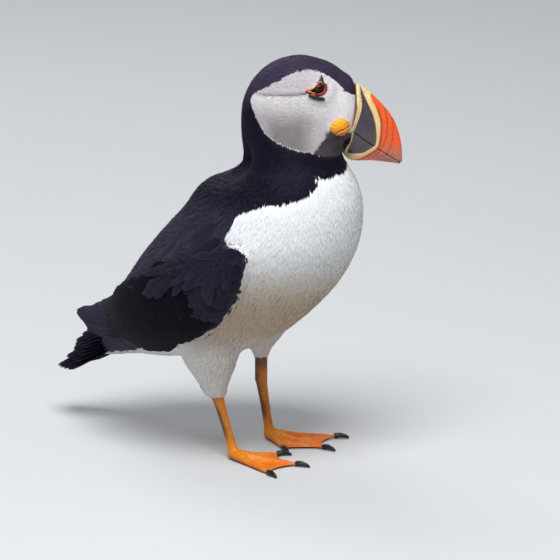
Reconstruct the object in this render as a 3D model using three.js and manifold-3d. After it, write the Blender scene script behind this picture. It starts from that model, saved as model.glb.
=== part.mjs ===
// An Atlantic puffin standing at rest, life size, in millimetres.
// +X is the way its breast faces, +Y its left, +Z up; the floor is z = 0.
// The head is turned to the bird's left. Each body part is a closed solid of its own,
// and neighbours keep a thin gap.
import * as THREE from "three";
import { mergeVertices } from "three/addons/utils/BufferGeometryUtils.js";
import Module from "manifold-3d";

const wasm = await Module();
wasm.setup();

const degrees = THREE.MathUtils.degToRad;

// ---------------------------------------------------------------- driving sizes
const gap = 0.3; // between neighbouring parts
const headTurn = degrees(31); // to the bird's left
const headCentre = new THREE.Vector3(20, 3, 189.5);
const bodySides = 24; // facets round the trunk and neck
const bodySteps = 23; // rings along them
const bodySquare = 2.2; // 2 is an ellipse, more is fuller at the shoulders

// Trunk and neck, from the coverts under the tail up to the head:
// [x, z] of the middle, half the width, reach to the back, reach to the belly.
const bodyStations = [
  [-104, 40, 5, 3, 3],
  [-92, 47, 13, 9, 9],
  [-79, 56, 21, 17, 15],
  [-62, 67, 31, 27, 25],
  [-43, 78, 38, 36, 33],
  [-23, 91, 42, 41, 41],
  [-3, 108, 44, 43, 42],
  [12, 126, 43, 44, 42],
  [18, 144, 37, 41, 37],
  [17, 159, 27.5, 31, 28],
  [16, 173, 23, 26.5, 23],
  [14, 187, 17, 23, 17],
];

// Head in its own frame, from the nape forward: distance forward of its middle,
// height of the crown, height of the underside, half the width.
const headStations = [
  [-28.5, 0, -12, 4],
  [-25, 10, -20, 11],
  [-16, 21, -25, 16.5],
  [-6, 26, -30, 18.8],
  [4, 26.5, -31, 18.8],
  [14, 21.5, -30, 16],
  [23, 14.5, -28, 11.5],
  [31, 6.5, -24, 7.5],
];

// Where the feathers end against the bill, in the head's frame: [up, forward].
const featherLine = [
  [-36, 22],
  [-26, 22.9],
  [-18, 25],
  [-12, 27.8],
  [-3, 30],
  [5, 30],
  [10.5, 29.4],
  [18, 28],
];

// Bill, in the head's frame: [forward, up] along its edges.
const culmenPoints = [
  [32.3, 10],
  [41, 3.2],
  [49.4, -6.8],
  [53.7, -19.5],
  [54.4, -30.8],
];
const mouthPoints = [
  [29.2, -13],
  [39.5, -20.7],
  [53.6, -30.6],
];
const keelPoints = [
  [23.9, -25.6],
  [28.6, -29.4],
  [40, -29.7],
  [53.2, -31.2],
];
const billSteps = 19;
const billHalfWidth = 7.2; // at the corner of the mouth
const culmenHalfWidth = 2;
const keelHalfWidth = 3.4;
const billTipHalfWidth = 0.9;
const billBaseBow = 2; // the base bulges forward in the middle
const billRidge = 0.33; // where the second ridge crosses, from the base to the tip
const billGrooves = [0.47, 0.62, 0.77];

// Eyes and what lies on the cheek: [forward, up] in the head's frame.
const eyeRadius = 4.3;
const eyeCentre = [12.2, 12.6];
const eyeProud = 1; // the ball stands out of the cheek
const rosetteCentre = [22.6, -9.6];
const rosetteSize = [5.6, 2.6, 4.6]; // half the length, thickness and height
const rosetteProud = 1.6;
// The horny pieces over and under the eye: [forward, up, half the width].
const browHorn = [
  [13.2, 18.6, 0.5],
  [13, 17.4, 1.1],
  [12.6, 16, 2],
];
const lidHorn = [
  [7.4, 9.5, 0.5],
  [11, 7.8, 1],
  [15, 6.9, 0.7],
];

// The folded wing on the flank, from the wrist back: place along the body, lower and
// upper edge in degrees round it, thickness.
const wingStations = [
  [0.635, -15, -4, 2.5],
  [0.605, -22, 4, 5.5],
  [0.55, -29, 12, 6.5],
  [0.485, -35, 20, 6.5],
  [0.4, -38, 28, 5.5],
  [0.31, -38, 38, 4.5],
  [0.24, -30, 48, 3.5],
  [0.18, -12, 55, 2],
];
const wingClear = 0.9; // air between wing and flank
const wingRound = 30; // least radius of the flank under it

// The long flight feathers over the root of the tail, from the wing to their tips:
// [x, y, z] of the middle, half the height, lean towards the back in degrees.
const flightStations = [
  [-66, -27, 67, 10, 32],
  [-82, -21, 64, 12, 26],
  [-96, -14.5, 62, 9.5, 20],
  [-109, -10, 60.5, 5.6, 14],
];

const tailRoot = new THREE.Vector3(-82, 0, 55);
const tailLength = 52;
const tailHalfWidth = 14;
const tailDrop = degrees(31);
const tailCamber = 5.5; // its outer feathers lie this much lower

// The legs. Stations of the thigh: [x, y, z, half across, half fore and aft].
const ankle = new THREE.Vector3(-15, 20.5, 31);
const thighStations = [
  [-20, 22, 70, 16.5, 20],
  [-18, 22, 58, 15, 18],
  [-16.5, 21.5, 47, 11.5, 13.5],
  [-15.5, 21.2, 38.5, 7, 8],
  [-15, 20.5, 32, 4.4, 4.8],
];
// The shank: share of the way down to the foot, half across, half fore and aft.
const shankStations = [
  [0, 3.4, 4.2],
  [0.15, 3.1, 3.8],
  [0.5, 2.5, 3.3],
  [0.85, 2.7, 3.2],
  [1, 3.2, 3.3],
];
const footRootLeft = new THREE.Vector3(-10, 21.5, 4.6);
const footRootRight = new THREE.Vector3(-3.5, -21.5, 4.6);
const footTurnLeft = degrees(-2);
const footTurnRight = degrees(12);
// Toes from the outer to the inner one: degrees from the middle toe outwards, length.
const toes = [
  { word: "outer", spread: 35, reach: 35 },
  { word: "middle", spread: 0, reach: 36 },
  { word: "inner", spread: -34, reach: 24 },
];
// Along a toe and a claw: share of the length, height of the middle, half the width.
const toeStations = [
  [-0.08, 2, 2.6],
  [0.08, 2.8, 3.5],
  [0.45, 1.8, 2.4],
  [0.85, 1.5, 2],
  [1, 1.1, 1.55],
];
const clawLength = 7.5;
const clawStations = [
  [0, 1.5, 1.4],
  [0.35, 1.9, 1.2],
  [0.75, 1.4, 0.85],
  [1, 0.6, 0.4],
];
const webHeight = 1;
const webThickness = 1.2;

// Planes of the thin cuts: [direction, point on the plane].
const headCut = [
  new THREE.Vector3(0.26, 0.16, 0.95).normalize(),
  new THREE.Vector3(17, 3, 166),
];
const neckCut = [new THREE.Vector3(0.2, 0, 0.98).normalize(), new THREE.Vector3(17, 0, 152)];
const rumpCut = [new THREE.Vector3(0.78, 0, 0.62).normalize(), new THREE.Vector3(-56, 0, 71)];
const flightCut = [new THREE.Vector3(-1, 0, 0), new THREE.Vector3(-76, 0, 0)];
const shankTop = 33.5;
const footTop = 9;

// ---------------------------------------------------------------- colours
const finish = (color, roughness) =>
  new THREE.MeshStandardMaterial({ color, roughness, metalness: 0 });
const blackFeather = finish(0x1f1d22, 0.75);
const whiteFeather = finish(0xe9e7e4, 0.85);
const greyFeather = finish(0xcfcaca, 0.85);
const orangeSkin = finish(0xf0761b, 0.5);
const redHorn = finish(0xf25a1e, 0.4);
const paleHorn = finish(0xf0d69a, 0.5);
const yellowSkin = finish(0xf2a900, 0.55);
const darkHorn = finish(0x3a3640, 0.45);
const wetEye = finish(0x2a1a16, 0.1);

// ---------------------------------------------------------------- shared shapes
const sideways = new THREE.Vector3(0, 1, 0);
const upright = new THREE.Vector3(0, 0, 1);
const headFrame = new THREE.Matrix4().makeRotationZ(headTurn).setPosition(headCentre);

// Smooth values between rows of numbers, for a place from 0 to 1.
function blend(rows) {
  const places = rows.map((row, i) => i / (rows.length - 1));
  const track = new THREE.CubicInterpolant(places, rows.flat(), rows[0].length);
  return (place) => Array.from(track.evaluate(place));
}

// The smooth curve through flat points.
const curveThrough = (points) =>
  new THREE.SplineCurve(points.map(([x, y]) => new THREE.Vector2(x, y)));

// A manifold solid of a closed geometry, turned to face out.
function solidOf(geometry) {
  const bare = geometry.clone();
  bare.deleteAttribute("normal");
  bare.deleteAttribute("uv");
  const merged = mergeVertices(bare, 1e-4);
  const vertProperties = merged.attributes.position.array;
  const make = (triVerts) =>
    new wasm.Manifold(new wasm.Mesh({ numProp: 3, vertProperties, triVerts }));
  const faces = new Uint32Array(merged.index.array);
  const solid = make(faces);
  return solid.volume() > 0 ? solid : make(faces.reverse());
}

// The solid of points and three-cornered faces, placed by a matrix.
function shell(points, faces, frame = new THREE.Matrix4()) {
  const geometry = new THREE.BufferGeometry().setFromPoints(points);
  geometry.setIndex(faces);
  geometry.applyMatrix4(frame);
  return solidOf(geometry);
}

// A closed body through rings of points, with a flat lid on each end.
function loft(rings, frame) {
  const sides = rings[0].length;
  const points = rings.flat();
  const faces = [];
  for (let i = 0; i < rings.length - 1; i += 1) {
    for (let j = 0; j < sides; j += 1) {
      const a = i * sides + j;
      const b = i * sides + ((j + 1) % sides);
      faces.push(a, b, b + sides, a, b + sides, a + sides);
    }
  }
  const last = points.length - sides;
  for (let j = 1; j < sides - 1; j += 1) {
    faces.push(0, j + 1, j);
    faces.push(last, last + j, last + j + 1);
  }
  return shell(points, faces, frame);
}

// A point of a rounded square of reach 1: square = 2 gives a circle.
function onOval(turn, square) {
  const pull = (value) => Math.sign(value) * Math.abs(value) ** (2 / square);
  return [pull(Math.cos(turn)), pull(Math.sin(turn))];
}

// One oval ring round a centre, with its own reach up and down.
function oval(centre, right, up, half, above, below, sides, square = 2) {
  return Array.from({ length: sides }, (_, i) => {
    const [across, high] = onOval((2 * Math.PI * i) / sides, square);
    return centre
      .clone()
      .addScaledVector(right, half * across)
      .addScaledVector(up, high * (high > 0 ? above : below));
  });
}

// A tube of changing oval section through rows of [x, y, z, half across, half deep].
function limb(rows, across, sides, steps, frame) {
  const at = blend(rows);
  const middleAt = (place) => new THREE.Vector3(...at(THREE.MathUtils.clamp(place, 0, 1)));
  const rings = [];
  for (let i = 0; i <= steps; i += 1) {
    const place = i / steps;
    const [, , , wide, deep] = at(place);
    const along = middleAt(place + 0.01).sub(middleAt(place - 0.01)).normalize();
    const front = new THREE.Vector3().crossVectors(along, across).normalize();
    const right = new THREE.Vector3().crossVectors(front, along).normalize();
    rings.push(oval(middleAt(place), right, front, wide, deep, deep, sides));
  }
  return loft(rings, frame);
}

// A closed sheet over a grid: at(s, w, face) gives its point on face +1 or -1.
function sheet(stepsS, stepsW, at, frame) {
  const points = [];
  const faces = [];
  const row = stepsW + 1;
  const layer = (stepsS + 1) * row;
  for (const face of [1, -1]) {
    for (let i = 0; i <= stepsS; i += 1) {
      for (let j = 0; j <= stepsW; j += 1) {
        points.push(at(i / stepsS, j / stepsW, face));
      }
    }
  }
  const quad = (a, b, c, d) => faces.push(a, b, c, a, c, d);
  for (let i = 0; i < stepsS; i += 1) {
    for (let j = 0; j < stepsW; j += 1) {
      const a = i * row + j;
      quad(a, a + row, a + row + 1, a + 1);
      quad(layer + a, layer + a + 1, layer + a + row + 1, layer + a + row);
    }
    const first = i * row;
    const last = first + stepsW;
    quad(first, layer + first, layer + first + row, first + row);
    quad(last, last + row, layer + last + row, layer + last);
  }
  for (let j = 0; j < stepsW; j += 1) {
    const far = stepsS * row + j;
    quad(j, j + 1, layer + j + 1, layer + j);
    quad(far, layer + far, layer + far + 1, far + 1);
  }
  return shell(points, faces, frame);
}

const largest = (solid) => solid.decompose().sort((a, b) => b.volume() - a.volume())[0];
const without = (solid, others) => others.reduce((left, other) => left.subtract(other), solid);

// The part of a solid ahead of a plane, and the part behind it, a gap apart.
function parted(solid, normal, point) {
  const middle = normal.dot(point);
  const back = normal.clone().negate();
  return [
    solid.trimByPlane(normal.toArray(), middle + gap / 2),
    solid.trimByPlane(back.toArray(), -middle + gap / 2),
  ];
}

// ---------------------------------------------------------------- trunk, neck and head
const bodyAt = blend(bodyStations);
const headAt = blend(headStations);

// The middle, the two directions and the reaches of the body's ring at a place.
function bodyRing(place, grow) {
  const [x, z, half, back, belly] = bodyAt(place);
  const before = bodyAt(Math.max(0, place - 0.01));
  const after = bodyAt(Math.min(1, place + 0.01));
  const along = new THREE.Vector3(after[0] - before[0], 0, after[1] - before[1]).normalize();
  const toBack = new THREE.Vector3(-along.z, 0, along.x);
  return [new THREE.Vector3(x, 0, z), sideways, toBack, half + grow, back + grow, belly + grow];
}

function bodySolid(grow) {
  const rings = [];
  for (let i = 0; i <= bodySteps; i += 1) {
    rings.push(oval(...bodyRing(i / bodySteps, grow), bodySides, bodySquare));
  }
  return loft(rings);
}

function headSolid() {
  const steps = 12;
  const rings = [];
  for (let i = 0; i <= steps; i += 1) {
    const [forward, top, bottom, half] = headAt(i / steps);
    const middle = new THREE.Vector3(forward, 0, (top + bottom) / 2);
    const reach = (top - bottom) / 2;
    rings.push(oval(middle, sideways, upright, half, reach, reach, 18));
  }
  return loft(rings, headFrame);
}

// ---------------------------------------------------------------- bill
const culmen = curveThrough(culmenPoints);
const mouth = curveThrough(mouthPoints);
const keel = curveThrough(keelPoints);
const featherTrack = new THREE.CubicInterpolant(
  featherLine.map(([up]) => up),
  featherLine.map(([, forward]) => forward),
  1,
);
const featherEdge = (up) => featherTrack.evaluate(up)[0];

// A soft bump of a given width about a place.
const bump = (value, middle, width) => Math.exp(-(((value - middle) / width) ** 2));

// Half the thickness of the bill, from the mouth (0) to its outer edge (1).
function billHalf(s, w, edgeHalf) {
  const atMouth = billTipHalfWidth + (billHalfWidth - billTipHalfWidth) * (1 - s) ** 0.8;
  const atEdge = billTipHalfWidth + (edgeHalf - billTipHalfWidth) * (1 - s);
  const rounding = 0.4 + 0.6 * Math.sqrt(Math.max(0, 1 - w ** 8));
  const ridge = 0.5 * bump(s, billRidge, 0.035);
  const grooves = billGrooves.reduce((sum, groove) => sum + 0.4 * bump(s, groove, 0.02), 0);
  return (atEdge + (atMouth - atEdge) * (1 - w ** 1.5)) * rounding + (ridge - grooves) * (1 - s);
}

// Rings of the bill run from the mouth (w = 0) to its outer edge (w = 1) and bow forward;
// they crowd together along the culmen near the base.
const mouthAt = (s) => mouth.getPointAt(s ** 0.68);
function upperPoint(s, w) {
  const point = mouthAt(s).lerp(culmen.getPointAt(s ** 1.79), w);
  point.x += billBaseBow * 4 * w * (1 - w) * Math.sqrt(1 - s);
  return point;
}

function upperBill() {
  const at = (s, w, face) => {
    const point = upperPoint(s, w);
    const half = billHalf(s, w, culmenHalfWidth);
    return new THREE.Vector3(point.x, face * half, point.y + gap / 2);
  };
  return sheet(billSteps, 6, at, headFrame);
}

function lowerBill() {
  const at = (s, w, face) => {
    const point = mouthAt(s).lerp(keel.getPointAt(s ** 1.35), w);
    const half = billHalf(s, w, keelHalfWidth);
    return new THREE.Vector3(point.x, face * half, point.y - gap / 2);
  };
  return sheet(billSteps, 3, at, headFrame);
}

// The raised band of skin between the feathers and the horny bill.
function billBase() {
  const at = (s, w, face) => {
    const front = upperPoint(0, w);
    const back = featherEdge(front.y) + gap;
    const forward = back + (front.x - gap - back) * s;
    const half = billHalf(0, w, culmenHalfWidth) + 0.3 + 0.7 * Math.sin(Math.PI * s);
    return new THREE.Vector3(forward, face * half, front.y + gap / 2 + 0.5 * w);
  };
  return sheet(3, 6, at, headFrame);
}

// Everything ahead of the feathers, to cut the head back to them.
function billSpace() {
  const beyond = 60;
  const bottom = featherLine[0][0];
  const top = featherLine.at(-1)[0];
  const outline = new THREE.Shape();
  outline.moveTo(beyond, bottom);
  outline.lineTo(beyond, top);
  for (let up = top; up >= bottom; up -= 3) outline.lineTo(featherEdge(up), up);
  const block = new THREE.ExtrudeGeometry(outline, { depth: beyond, bevelEnabled: false });
  block.translate(0, 0, -beyond / 2);
  block.rotateX(Math.PI / 2);
  return solidOf(block.applyMatrix4(headFrame));
}

// ---------------------------------------------------------------- what lies on the cheek
// Half the head's width at a place seen from the side.
function cheekHalf(forward, up) {
  let low = 0;
  let high = 1;
  while (high - low > 1e-4) {
    const middle = (low + high) / 2;
    if (headAt(middle)[0] < forward) low = middle;
    else high = middle;
  }
  const [, top, bottom, half] = headAt(low);
  const share = (2 * up - top - bottom) / (top - bottom);
  return half * Math.sqrt(Math.max(0, 1 - share ** 2));
}

// The point and the outward direction of the head's surface, on one side.
function onCheek(forward, up, side) {
  const here = cheekHalf(forward, up);
  const slopeForward = cheekHalf(forward + 1, up) - here;
  const slopeUp = cheekHalf(forward, up + 1) - here;
  return {
    point: new THREE.Vector3(forward, side * here, up),
    out: new THREE.Vector3(-slopeForward, side, -slopeUp).normalize(),
  };
}

// A ball or a flattened ball set in the cheek.
function cheekBall([forward, up], side, [long, thick, high], proud, grow) {
  const { point, out } = onCheek(forward, up, side);
  const ball = new THREE.SphereGeometry(1, 10, 7);
  ball.scale(long + grow, thick + grow, high + grow);
  const facing = out.clone().multiplyScalar(side);
  ball.applyQuaternion(new THREE.Quaternion().setFromUnitVectors(sideways, facing));
  ball.translate(...point.addScaledVector(out, proud - thick).toArray());
  return solidOf(ball.applyMatrix4(headFrame));
}

const eyeBall = (side, grow) =>
  cheekBall(eyeCentre, side, [eyeRadius, eyeRadius, eyeRadius], eyeProud, grow);
const rosette = (side, grow) => cheekBall(rosetteCentre, side, rosetteSize, rosetteProud, grow);

// A small horny piece lying on the cheek.
function cheekHorn(stations, side, grow) {
  const rows = stations.map(([forward, up, half]) => {
    const { point, out } = onCheek(forward, up, side);
    return [...point.addScaledVector(out, 0.1).toArray(), 0.7 + grow, half + grow];
  });
  return limb(rows, sideways, 6, 3, headFrame);
}

// ---------------------------------------------------------------- wings and tail
function foldedWing(side, grow) {
  const rowAt = blend(wingStations);
  const at = (s, w, face) => {
    const [place, low, high, thick] = rowAt(s);
    const turn = degrees(low + (high - low) * w) + (grow * (2 * w - 1)) / wingRound;
    const swell = 0.25 + 0.75 * Math.sin(Math.PI * w) ** 0.6;
    const lift = wingClear + (face > 0 ? thick * swell : 0) + face * grow;
    const [centre, right, toBack, half, back, belly] = bodyRing(place, lift);
    const [across, rise] = onOval(turn, bodySquare);
    return centre
      .addScaledVector(right, side * half * across)
      .addScaledVector(toBack, rise * (rise > 0 ? back : belly));
  };
  return sheet(13, 6, at);
}

function flightFeathers(side) {
  const rowAt = blend(flightStations);
  const at = (s, w, face) => {
    const [x, y, z, half, lean] = rowAt(s);
    const tilt = degrees(lean);
    const rise = new THREE.Vector3(0, -side * Math.sin(tilt), Math.cos(tilt));
    const out = new THREE.Vector3(0, side * Math.cos(tilt), Math.sin(tilt));
    const across = 2 * w - 1;
    const curl = 1 - across ** 2;
    const thick = 0.4 + 1.1 * curl * (1 - 0.6 * s);
    return new THREE.Vector3(x, -side * y, z)
      .addScaledVector(rise, half * across)
      .addScaledVector(out, face * thick + 1.5 * curl);
  };
  return sheet(5, 4, at);
}

function tailFan() {
  const along = new THREE.Vector3(-Math.cos(tailDrop), 0, -Math.sin(tailDrop));
  const up = new THREE.Vector3(-Math.sin(tailDrop), 0, Math.cos(tailDrop));
  const rootHalfWidth = 8;
  const at = (s, w, face) => {
    const across = 2 * w - 1;
    const length = tailLength * (1 - 0.3 * across ** 2);
    const half = rootHalfWidth + (tailHalfWidth - rootHalfWidth) * s;
    const thick = 0.7 + 2.6 * (1 - s);
    return tailRoot
      .clone()
      .addScaledVector(along, length * s)
      .addScaledVector(sideways, half * across)
      .addScaledVector(up, face * thick - tailCamber * across ** 2);
  };
  return sheet(6, 8, at);
}

// ---------------------------------------------------------------- legs and feet
const thigh = (side) =>
  limb(
    thighStations.map(([x, y, z, ...size]) => [x, side * y, z, ...size]),
    sideways,
    14,
    6,
  );

function shank(side, root) {
  const top = new THREE.Vector3(ankle.x, side * ankle.y, ankle.z + 4);
  const rows = shankStations.map(([down, wide, deep]) => {
    const middle = top.clone().lerp(root, down);
    return [...middle.toArray(), wide, deep];
  });
  return limb(rows, sideways, 10, 6);
}

const toeWay = (turn) => new THREE.Vector3(Math.cos(turn), Math.sin(turn), 0);

// A toe or a claw: a tapering limb along its own way, from a start point.
function taper(start, turn, stations, length, steps) {
  const rows = stations.map(([share, up, half]) => {
    const middle = start.clone().addScaledVector(toeWay(turn), share * length).setZ(up);
    return [...middle.toArray(), half, half];
  });
  return limb(rows, toeWay(turn + Math.PI / 2), 6, steps);
}

// The web between two toes: its free edge is drawn in between them.
function web(root, from, to) {
  const at = (s, w, face) => {
    const turn = from.turn + (to.turn - from.turn) * w;
    const reach = 0.97 * (from.reach + (to.reach - from.reach) * w);
    const edge = reach * (1 - 0.13 * Math.sin(Math.PI * w));
    return root
      .clone()
      .setZ(webHeight + (face * webThickness) / 2)
      .addScaledVector(toeWay(turn), edge * (0.12 + 0.88 * s));
  };
  return sheet(2, 4, at);
}

// The toes of one foot as it stands.
const toesOf = (side, footTurn) =>
  toes.map(({ word, spread, reach }) => ({
    word,
    reach,
    turn: footTurn + side * degrees(spread),
  }));

function foot(root, own) {
  const solids = own.map(({ turn, reach }) => taper(root, turn, toeStations, reach, 4));
  own.slice(1).forEach((toe, i) => solids.push(web(root, own[i], toe)));
  return solids.reduce((joined, solid) => joined.add(solid));
}

function claw(root, { turn, reach }) {
  const start = root.clone().addScaledVector(toeWay(turn), reach + gap);
  return taper(start, turn, clawStations, clawLength, 3);
}

// ---------------------------------------------------------------- the whole bird
const bird = new THREE.Group();

function addPart(name, solid, material) {
  const { vertProperties, triVerts } = solid.getMesh();
  const geometry = new THREE.BufferGeometry();
  geometry.setAttribute("position", new THREE.BufferAttribute(vertProperties, 3));
  geometry.setIndex(new THREE.BufferAttribute(triVerts, 1));
  const mesh = new THREE.Mesh(geometry, material.clone());
  mesh.name = name;
  bird.add(mesh);
}

const birdSides = [
  { word: "left", side: 1, root: footRootLeft, footTurn: footTurnLeft },
  { word: "right", side: -1, root: footRootRight, footTurn: footTurnRight },
];
const floor = [[0, 0, 1], 0];
const bodyGrown = bodySolid(gap);

const whole = bodySolid(0).add(headSolid());
const [headWhole, belowHead] = parted(whole, ...headCut);
const [neck, belowNeck] = parted(belowHead, ...neckCut);
const [trunk, rump] = parted(belowNeck, ...rumpCut);
const headHoles = birdSides.flatMap(({ side }) => [
  eyeBall(side, gap),
  rosette(side, gap),
  cheekHorn(browHorn, side, gap),
  cheekHorn(lidHorn, side, gap),
]);
addPart("head", without(headWhole, [billSpace(), ...headHoles]), greyFeather);
addPart("neck", neck, blackFeather);
addPart("trunk", trunk, whiteFeather);
addPart("rump", rump, blackFeather);
addPart("tail", tailFan().subtract(bodyGrown), blackFeather);
addPart("bill_base", billBase(), paleHorn);
addPart("bill_upper", upperBill(), redHorn);
addPart("bill_lower", lowerBill(), redHorn);

birdSides.forEach(({ word, side, root, footTurn }) => {
  addPart(`eye_${word}`, eyeBall(side, 0), wetEye);
  const eyeGrown = eyeBall(side, gap);
  addPart(`eye_horn_upper_${word}`, cheekHorn(browHorn, side, 0).subtract(eyeGrown), darkHorn);
  addPart(`eye_horn_lower_${word}`, cheekHorn(lidHorn, side, 0).subtract(eyeGrown), darkHorn);
  addPart(`gape_${word}`, rosette(side, 0).subtract(billSpace()), yellowSkin);

  const wingWhole = largest(foldedWing(side, 0).add(flightFeathers(side)).subtract(bodyGrown));
  const [flight, wing] = parted(wingWhole, ...flightCut).map(largest);
  addPart(`wing_${word}`, wing, blackFeather);
  addPart(`flight_${word}`, flight, blackFeather);

  const own = toesOf(side, footTurn);
  const leg = thigh(side).add(shank(side, root)).add(foot(root, own));
  const standing = without(leg.trimByPlane(...floor), [bodyGrown, foldedWing(side, gap)]);
  const [upperLeg, lowerLeg] = parted(standing, upright, new THREE.Vector3(0, 0, shankTop));
  const [shankSolid, footSolid] = parted(lowerLeg, upright, new THREE.Vector3(0, 0, footTop));
  addPart(`thigh_${word}`, largest(upperLeg), whiteFeather);
  addPart(`shank_${word}`, shankSolid, orangeSkin);
  addPart(`foot_${word}`, footSolid, orangeSkin);
  own.forEach((toe) => {
    addPart(`claw_${toe.word}_${word}`, claw(root, toe).trimByPlane(...floor), darkHorn);
  });
});

// The origin is on the floor, under the middle of the bird's box.
const middle = new THREE.Box3().setFromObject(bird).getCenter(new THREE.Vector3());
bird.position.set(-middle.x, -middle.y, 0);

export default bird;
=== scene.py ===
# A standing Atlantic puffin, life size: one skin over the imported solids, and a coat of solid feathers on it.
# The script works in the frame's metres; plans below give millimetres, turned to metres by mm.
import math

import bmesh
import bpy
import numpy as np
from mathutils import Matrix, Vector
from mathutils.bvhtree import BVHTree


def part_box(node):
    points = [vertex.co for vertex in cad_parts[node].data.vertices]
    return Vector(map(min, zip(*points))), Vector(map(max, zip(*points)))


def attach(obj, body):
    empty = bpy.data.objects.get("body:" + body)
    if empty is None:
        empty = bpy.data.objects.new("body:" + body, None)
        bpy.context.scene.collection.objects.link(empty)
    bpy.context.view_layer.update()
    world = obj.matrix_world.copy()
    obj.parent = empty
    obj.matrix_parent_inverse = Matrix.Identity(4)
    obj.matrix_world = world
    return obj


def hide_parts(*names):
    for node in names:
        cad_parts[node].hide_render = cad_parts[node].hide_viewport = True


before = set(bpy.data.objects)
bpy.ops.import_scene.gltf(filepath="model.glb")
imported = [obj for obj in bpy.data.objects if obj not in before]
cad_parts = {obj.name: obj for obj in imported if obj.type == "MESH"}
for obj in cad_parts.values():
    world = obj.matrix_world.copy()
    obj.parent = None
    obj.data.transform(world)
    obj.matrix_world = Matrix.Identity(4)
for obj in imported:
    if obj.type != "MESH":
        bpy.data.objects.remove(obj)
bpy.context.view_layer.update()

mm = 0.001
up = np.array([0.0, 0.0, 1.0])
sides = {"left": 1, "right": -1}


# Colours are sRGB hex, turned to the linear values that the shaders work in.
def linear(hexColour):
    channels = [int(hexColour[i:i + 2], 16) / 255 for i in (1, 3, 5)]
    return np.array([c / 12.92 if c <= 0.04045 else ((c + 0.055) / 1.055) ** 2.4 for c in channels])


def linearAll(colours):
    return {name: linear(value) for name, value in colours.items()}


# A node with its settings, and its inputs given by name or number as a value or another node's socket.
def addNode(tree, kind, inputs=(), **settings):
    node = tree.nodes.new(kind)
    for name, value in settings.items():
        setattr(node, name, value)
    for name, value in dict(inputs).items():
        if isinstance(value, bpy.types.NodeSocket):
            tree.links.new(value, node.inputs[name])
        else:
            node.inputs[name].default_value = value
    return node


# An empty material with its surface shader joined to the output, ready for colour and relief.
def newMaterial(name, **finish):
    material = bpy.data.materials.new(name)
    material.use_nodes = True
    tree = material.node_tree
    tree.nodes.clear()
    settings = {key.replace("_", " "): value for key, value in finish.items()}
    shader = addNode(tree, "ShaderNodeBsdfPrincipled", settings)
    addNode(tree, "ShaderNodeOutputMaterial", {"Surface": shader.outputs["BSDF"]})
    return material, tree, shader


# The painted tint as the shader's colour, from low to high by pores about grain mm across.
def tintedGrain(tree, shader, grain, detail, low, high):
    tint = addNode(tree, "ShaderNodeAttribute", attribute_name="tint")
    place = addNode(tree, "ShaderNodeTexCoord")
    pores = addNode(tree, "ShaderNodeTexNoise", {"Vector": place.outputs["Object"],
                                                 "Scale": 1 / (grain * mm), "Detail": detail})
    level = addNode(tree, "ShaderNodeMapRange", {"Value": pores.outputs["Fac"], "From Min": 0.3,
                                                 "From Max": 0.7, "To Min": low, "To Max": high})
    shade = addNode(tree, "ShaderNodeMix", {6: tint.outputs["Color"], 7: level.outputs["Result"], 0: 1.0},
                    data_type="RGBA", blend_type="MULTIPLY")
    tree.links.new(shade.outputs[2], shader.inputs["Base Color"])
    return pores.outputs["Fac"]


def unit(vectors):
    return vectors / np.maximum(np.linalg.norm(vectors, axis=-1, keepdims=True), 1e-12)


def smoothStep(low, high, value):
    share = np.clip((value - low) / (high - low), 0, 1)
    return share * share * (3 - 2 * share)


def mixed(first, second, share):
    share = np.asarray(share)[..., None]
    return first * (1 - share) + second * share


# Smooth random values from 0 to 1 in blobs about grain across.
def softNoise(points, grain, seed):
    cell = points / grain + seed * 7.31
    base = np.floor(cell).astype(np.int64)
    part = cell - base
    part = part * part * (3 - 2 * part)
    total = np.zeros(len(points))
    for corner in range(8):
        step = np.array([corner & 1, corner >> 1 & 1, corner >> 2 & 1])
        spot = base + step
        code = spot[:, 0] * 73856093 ^ spot[:, 1] * 19349663 ^ spot[:, 2] * 83492791 ^ seed * 2654435761
        code = (code ^ code >> 13) * 1274126177 & 0x7FFFFFFF
        value = ((code ^ code >> 11) & 0xFFFF) / 0xFFFF
        total += value * np.prod(np.where(step == 1, part, 1 - part), axis=1)
    return total


# The smooth line through a few points.
def smoothLine(points, closed=False, steps=8):
    points = np.array(points, float)
    count = len(points)
    spans = count if closed else count - 1
    made = []
    for i in range(spans):
        near = [(i + k) % count if closed else min(max(i + k, 0), count - 1) for k in (-1, 0, 1, 2)]
        four = points[near]
        for step in range(steps):
            t = step / steps
            made.append(0.5 * (2 * four[1] + (four[2] - four[0]) * t
                               + (2 * four[0] - 5 * four[1] + 4 * four[2] - four[3]) * t * t
                               + (3 * four[1] - four[0] - 3 * four[2] + four[3]) * t ** 3))
    if not closed:
        made.append(points[-1])
    return np.array(made)


# How far flat points lie from a line, and for a closed line how far inside it (minus is outside).
def reachFrom(flat, line, closed=False):
    ends = np.roll(line, -1, axis=0) if closed else line[1:]
    starts = line if closed else line[:-1]
    nearest = np.full(len(flat), 1e9)
    inside = np.zeros(len(flat), bool)
    for a, b in zip(starts, ends):
        way = b - a
        share = np.clip(((flat - a) @ way) / max(way @ way, 1e-12), 0, 1)
        nearest = np.minimum(nearest, np.linalg.norm(flat - a - share[:, None] * way, axis=1))
        if closed and a[1] != b[1]:
            crosses = (flat[:, 1] > a[1]) != (flat[:, 1] > b[1])
            inside ^= crosses & (flat[:, 0] < a[0] + (flat[:, 1] - a[1]) / (b[1] - a[1]) * way[0])
    return np.where(inside, nearest, -nearest) if closed else nearest


# Places on the bird, from the frame.
def nodeMiddle(name):
    low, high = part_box(name)
    return np.array((low + high) / 2)


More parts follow.
